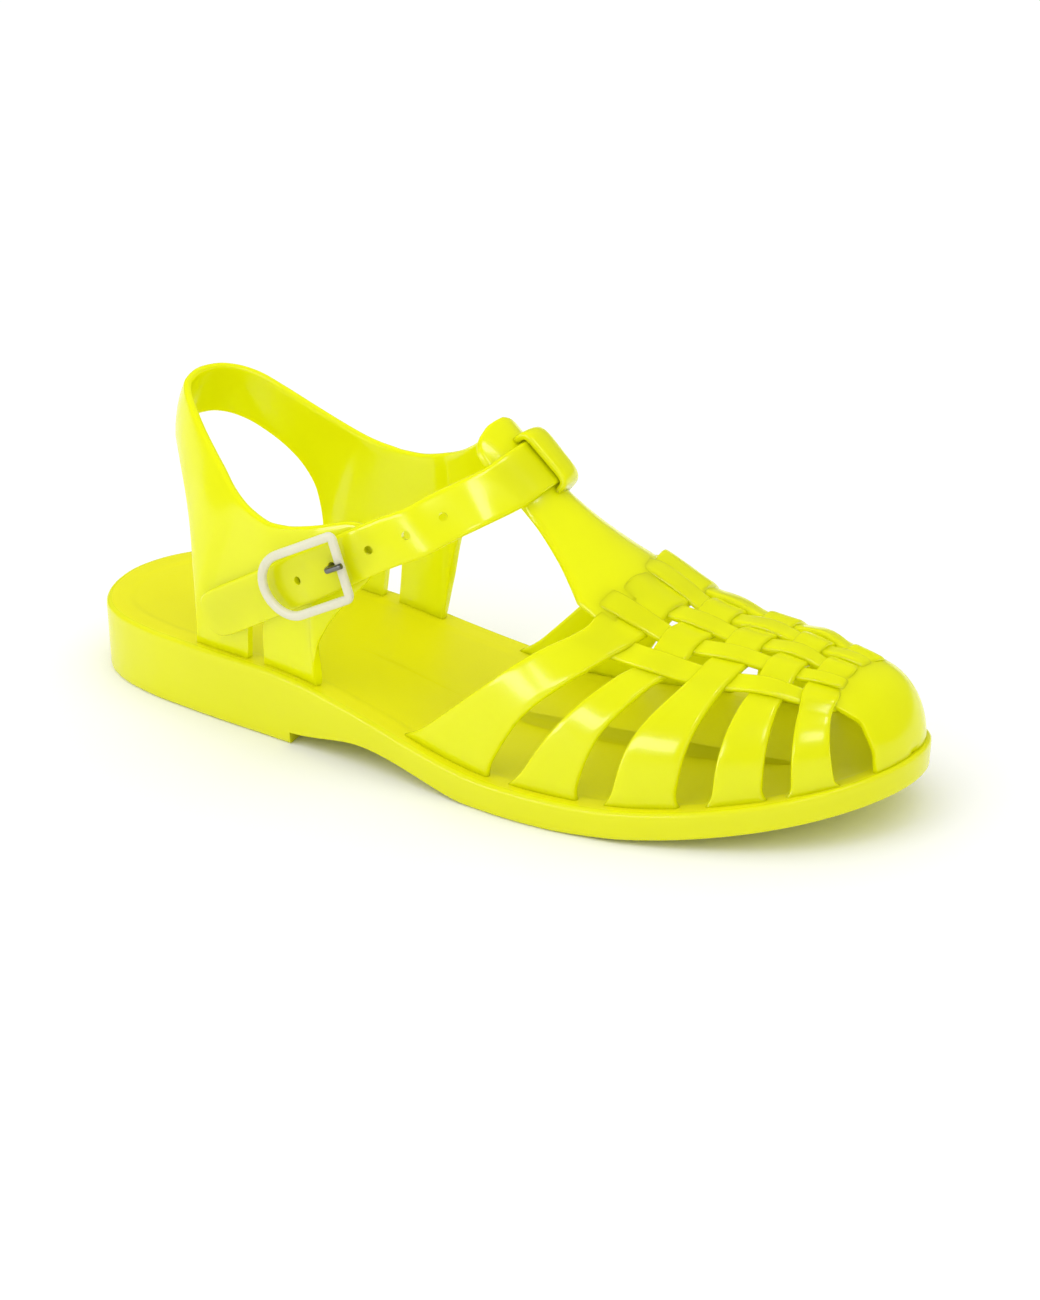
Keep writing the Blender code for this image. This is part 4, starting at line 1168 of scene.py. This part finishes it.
@dataclass
class Buckle:
    """White D frame and steel pin over the end of the strap."""

    length: float = 27.6
    shift: float = -0.8
    skew: float = 0.2
    turn: float = 3.0
    width: float = 17.2
    corner: float = 1.2
    bar: float = 2.45
    thick: float = 1.9
    pin_width: float = 1.5
    pin_reach: float = 6.8
    station: float = 0.4275
    side_shares: tuple = (0.25, 0.4, 0.55)
    hinge_places: tuple = (-3.0, 0.0, 3.0)
    pin_bend: tuple = (0.8, 2.2)

    @staticmethod
    def bar_rings(path: Sequence[Vector], width: float, thick: float, up: Vector,
                  closed: bool) -> list[list[Vector]]:
        """Rings of a rounded bar along a path."""
        rings, count = [], len(path)
        for k, point in enumerate(path):
            back = path[k - 1] if closed or k else path[0]
            ahead = path[(k + 1) % count] if closed or k < count - 1 else path[-1]
            along = (ahead - back).normalized()
            across = along.cross(up).normalized()
            rise = across.cross(along).normalized()
            ring = []
            for j in range(16):
                turn = 2 * math.pi * j / 16
                c, s = math.cos(turn), math.sin(turn)
                ring.append(point + across * (math.copysign(abs(c) ** 0.7, c) * width / 2)
                            + rise * (math.copysign(abs(s) ** 0.7, s) * thick / 2))
            rings.append(ring)
        return rings

    def build(self, palette: Palette, quarters: Quarters) -> list[bpy.types.Object]:
        """Build and dress the frame and the pin."""
        strap = quarters.grid[-len(quarters.tail_stations) - len(quarters.outer_run):]
        bar, normal = quarters.strap_spot(self.station)
        far, _ = quarters.strap_spot(self.station - 0.85 * self.length / LAST.length)
        along = (far - bar).normalized()
        up = (normal - along * normal.dot(along)).normalized()
        along = Matrix.Rotation(math.radians(-self.turn), 3, up) @ along
        across = along.cross(up).normalized()
        under = [p for row in strap for p in row
                 if -2.0 < (p - bar).dot(along) < self.length + 2.0]
        bump = max((p - bar).dot(up) for p in under)
        rise = bump + STRAP.wall / 2 + LAST.clearance + self.thick / 2
        radius = self.width / 2
        flat = [(self.length - radius + radius * math.cos(t), radius * math.sin(t))
                for t in np.linspace(math.pi / 2, -math.pi / 2, 33)]
        turns = [math.pi / 12 * k for k in range(7)]
        bend = [(self.corner * (1 - math.sin(t)), radius - self.corner * (1 - math.cos(t)))
                for t in turns]
        flank = [(self.length * s, radius) for s in self.side_shares]
        flat += [(p, -q) for p, q in flank[::-1] + bend]
        flat += [(0.0, q) for q in self.hinge_places]
        flat += bend[::-1] + flank
        flat = [(p - self.skew * q * max(0.0, 1 - p / self.length), q) for p, q in flat]
        middle = bar + across * self.shift
        path = [middle + along * float(p) + across * float(q) + up * rise for p, q in flat]
        bm = bmesh.new()
        tube_mesh(bm, self.bar_rings(path, self.bar, self.thick, up, True), closed=True)
        frame = finished("buckle_d", bm, Slot.BUCKLE, palette.buckle.material())
        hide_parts("buckle_frame")

        hole, _ = quarters.strap_spot(quarters.tail_holes[-1])
        reach, side, base = ((hole - bar).dot(v) for v in (along, across, up))
        top = rise + self.thick / 2 + LAST.clearance + self.pin_width / 2
        face = base + STRAP.wall / 2
        route = np.array([(reach, face - STRAP.wall), (reach, face + 0.3),
                          (reach - self.pin_bend[0], 0.3 * face + 0.7 * top),
                          (reach - self.pin_bend[1], top),
                          (reach - self.pin_reach, top)])
        run = np.r_[0, np.cumsum(np.hypot(*np.diff(route, axis=0).T))]
        fine = curve(run, route, np.linspace(0, run[-1], 25))
        points = [bar + along * float(p) + across * side + up * float(q) for p, q in fine]
        bm = bmesh.new()
        tube_mesh(bm, self.bar_rings(points, self.pin_width, self.pin_width, across, False))
        pin = finished("buckle_pin_steel", bm, Slot.PIN, palette.pin.material())
        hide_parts("buckle_pin")
        return [frame, pin]


@dataclass
class Studio:
    """Pale floor, soft lights and the photograph's camera."""

    camera_at: tuple = (506.580, -779.361, 424.516)
    right: tuple = (0.847014, 0.531342, -0.015588)
    up: tuple = (-0.198263, 0.342988, 0.918178)
    back: tuple = (0.493213, -0.774619, 0.395861)
    focal: float = 104.856
    floor_colour: tuple = (0.95, 0.95, 0.95, 1.0)
    floor_size: float = 12.0
    horizon_light: float = 0.60
    zenith_light: float = 1.32
    world_gloss: float = 0.15
    aim_at: tuple = (0.02, 0.0, 0.03)
    softboxes: tuple = (
        ("key", (-25.0, 50.0), 1.4, (0.9, 0.9), 2.6, False),
        ("front_box", (-2.0, 15.0), 1.6, (0.72, 0.30), 6.5, True),
        ("left_box", (-30.0, 5.0), 1.6, (0.8, 0.26), 7.0, True),
        ("right_box", (42.0, 30.0), 1.6, (0.34, 0.34), 3.0, True),
        ("strap_box", (67.0, 49.5), 1.5, (0.40, 0.22), 3.6, True),
    )

    def camera(self) -> None:
        """Place the camera at the photograph's angle."""
        data = bpy.data.cameras.new("camera")
        data.lens = self.focal
        data.sensor_width = 36.0
        data.clip_start, data.clip_end = 0.05, 50.0
        shot = placed("camera", data)
        columns = Matrix((self.right, self.up, self.back)).transposed().to_4x4()
        shot.matrix_world = Matrix.Translation(Vector(self.camera_at) * MM) @ columns
        bpy.context.scene.camera = shot

    def softbox(self, name: str, angles: tuple[float, float], distance: float,
                size: tuple[float, float], power: float, gloss: bool) -> None:
        """Add a rectangular light that looks at the sandal.

        Args:
            name: name of the light.
            angles: azimuth from the outer side towards the toe, and elevation, in degrees.
            distance: distance from the sandal, in metres.
            size: width and height, in metres.
            power: power, in watts.
            gloss: whether it shows in highlights only, or lights the surfaces only.
        """
        data = bpy.data.lights.new(name, "AREA")
        data.shape = "RECTANGLE"
        data.size, data.size_y = size
        data.energy = power
        lamp = placed(name, data)
        lamp.visible_diffuse, lamp.visible_glossy = not gloss, gloss
        azimuth, elevation = (math.radians(a) for a in angles)
        aim = Vector((math.sin(azimuth) * math.cos(elevation),
                      -math.cos(azimuth) * math.cos(elevation), math.sin(elevation)))
        lamp.matrix_world = (Matrix.Translation(aim * distance + Vector(self.aim_at))
                             @ aim.to_track_quat("Z", "Y").to_matrix().to_4x4())

    def floor(self) -> None:
        """Lay the pale floor."""
        bm = bmesh.new()
        bmesh.ops.create_grid(bm, x_segments=1, y_segments=1, size=self.floor_size / 2)
        mesh = bpy.data.meshes.new("floor")
        bm.to_mesh(mesh)
        bm.free()
        ground = placed("floor", mesh)
        material = bpy.data.materials.new("floor_paper")
        material.use_nodes = True
        shader = material.node_tree.nodes["Principled BSDF"]
        shader.inputs["Base Color"].default_value = self.floor_colour
        shader.inputs["Roughness"].default_value = 0.9
        shader.inputs["Specular IOR Level"].default_value = 0.1
        mesh.materials.append(material)

    def world(self) -> None:
        """Light the room evenly."""
        world = bpy.data.worlds.new("studio")
        bpy.context.scene.world = world
        world.use_nodes = True
        shell = world.node_tree.nodes["Background"]
        shell.inputs["Color"].default_value = (1.0, 1.0, 1.0, 1.0)
        nodes, links = world.node_tree.nodes, world.node_tree.links
        place = nodes.new("ShaderNodeTexCoord")
        parts = nodes.new("ShaderNodeSeparateXYZ")
        links.new(place.outputs["Generated"], parts.inputs["Vector"])
        sky = nodes.new("ShaderNodeMapRange")
        sky.inputs["To Min"].default_value = self.horizon_light
        sky.inputs["To Max"].default_value = self.zenith_light
        links.new(parts.outputs["Z"], sky.inputs["Value"])
        path, dim = nodes.new("ShaderNodeLightPath"), nodes.new("ShaderNodeMapRange")
        links.new(sky.outputs["Result"], dim.inputs["To Min"])
        dim.inputs["To Max"].default_value = self.world_gloss
        links.new(path.outputs["Is Glossy Ray"], dim.inputs["Value"])
        links.new(dim.outputs["Result"], shell.inputs["Strength"])

    def build(self) -> None:
        """Set up the studio."""
        self.camera()
        self.floor()
        self.world()
        for box in self.softboxes:
            self.softbox(*box)
        view = bpy.context.scene.view_settings
        view.view_transform = "Standard"
        view.look = "None"


def main() -> None:
    """Build the studio and every piece of the sandal."""
    logging.basicConfig(level=logging.INFO, format="%(name)s: %(message)s")
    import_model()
    Studio().build()
    palette = Palette()
    pieces = [Outsole().build(palette), *Cage().build(palette)]
    quarters = Quarters()
    pieces += [quarters.build(palette), *Buckle().build(palette, quarters)]
    for piece in pieces:
        LOG.info("%s: %d faces", piece.name, len(piece.data.polygons))


if __name__ == "__main__":
    main()
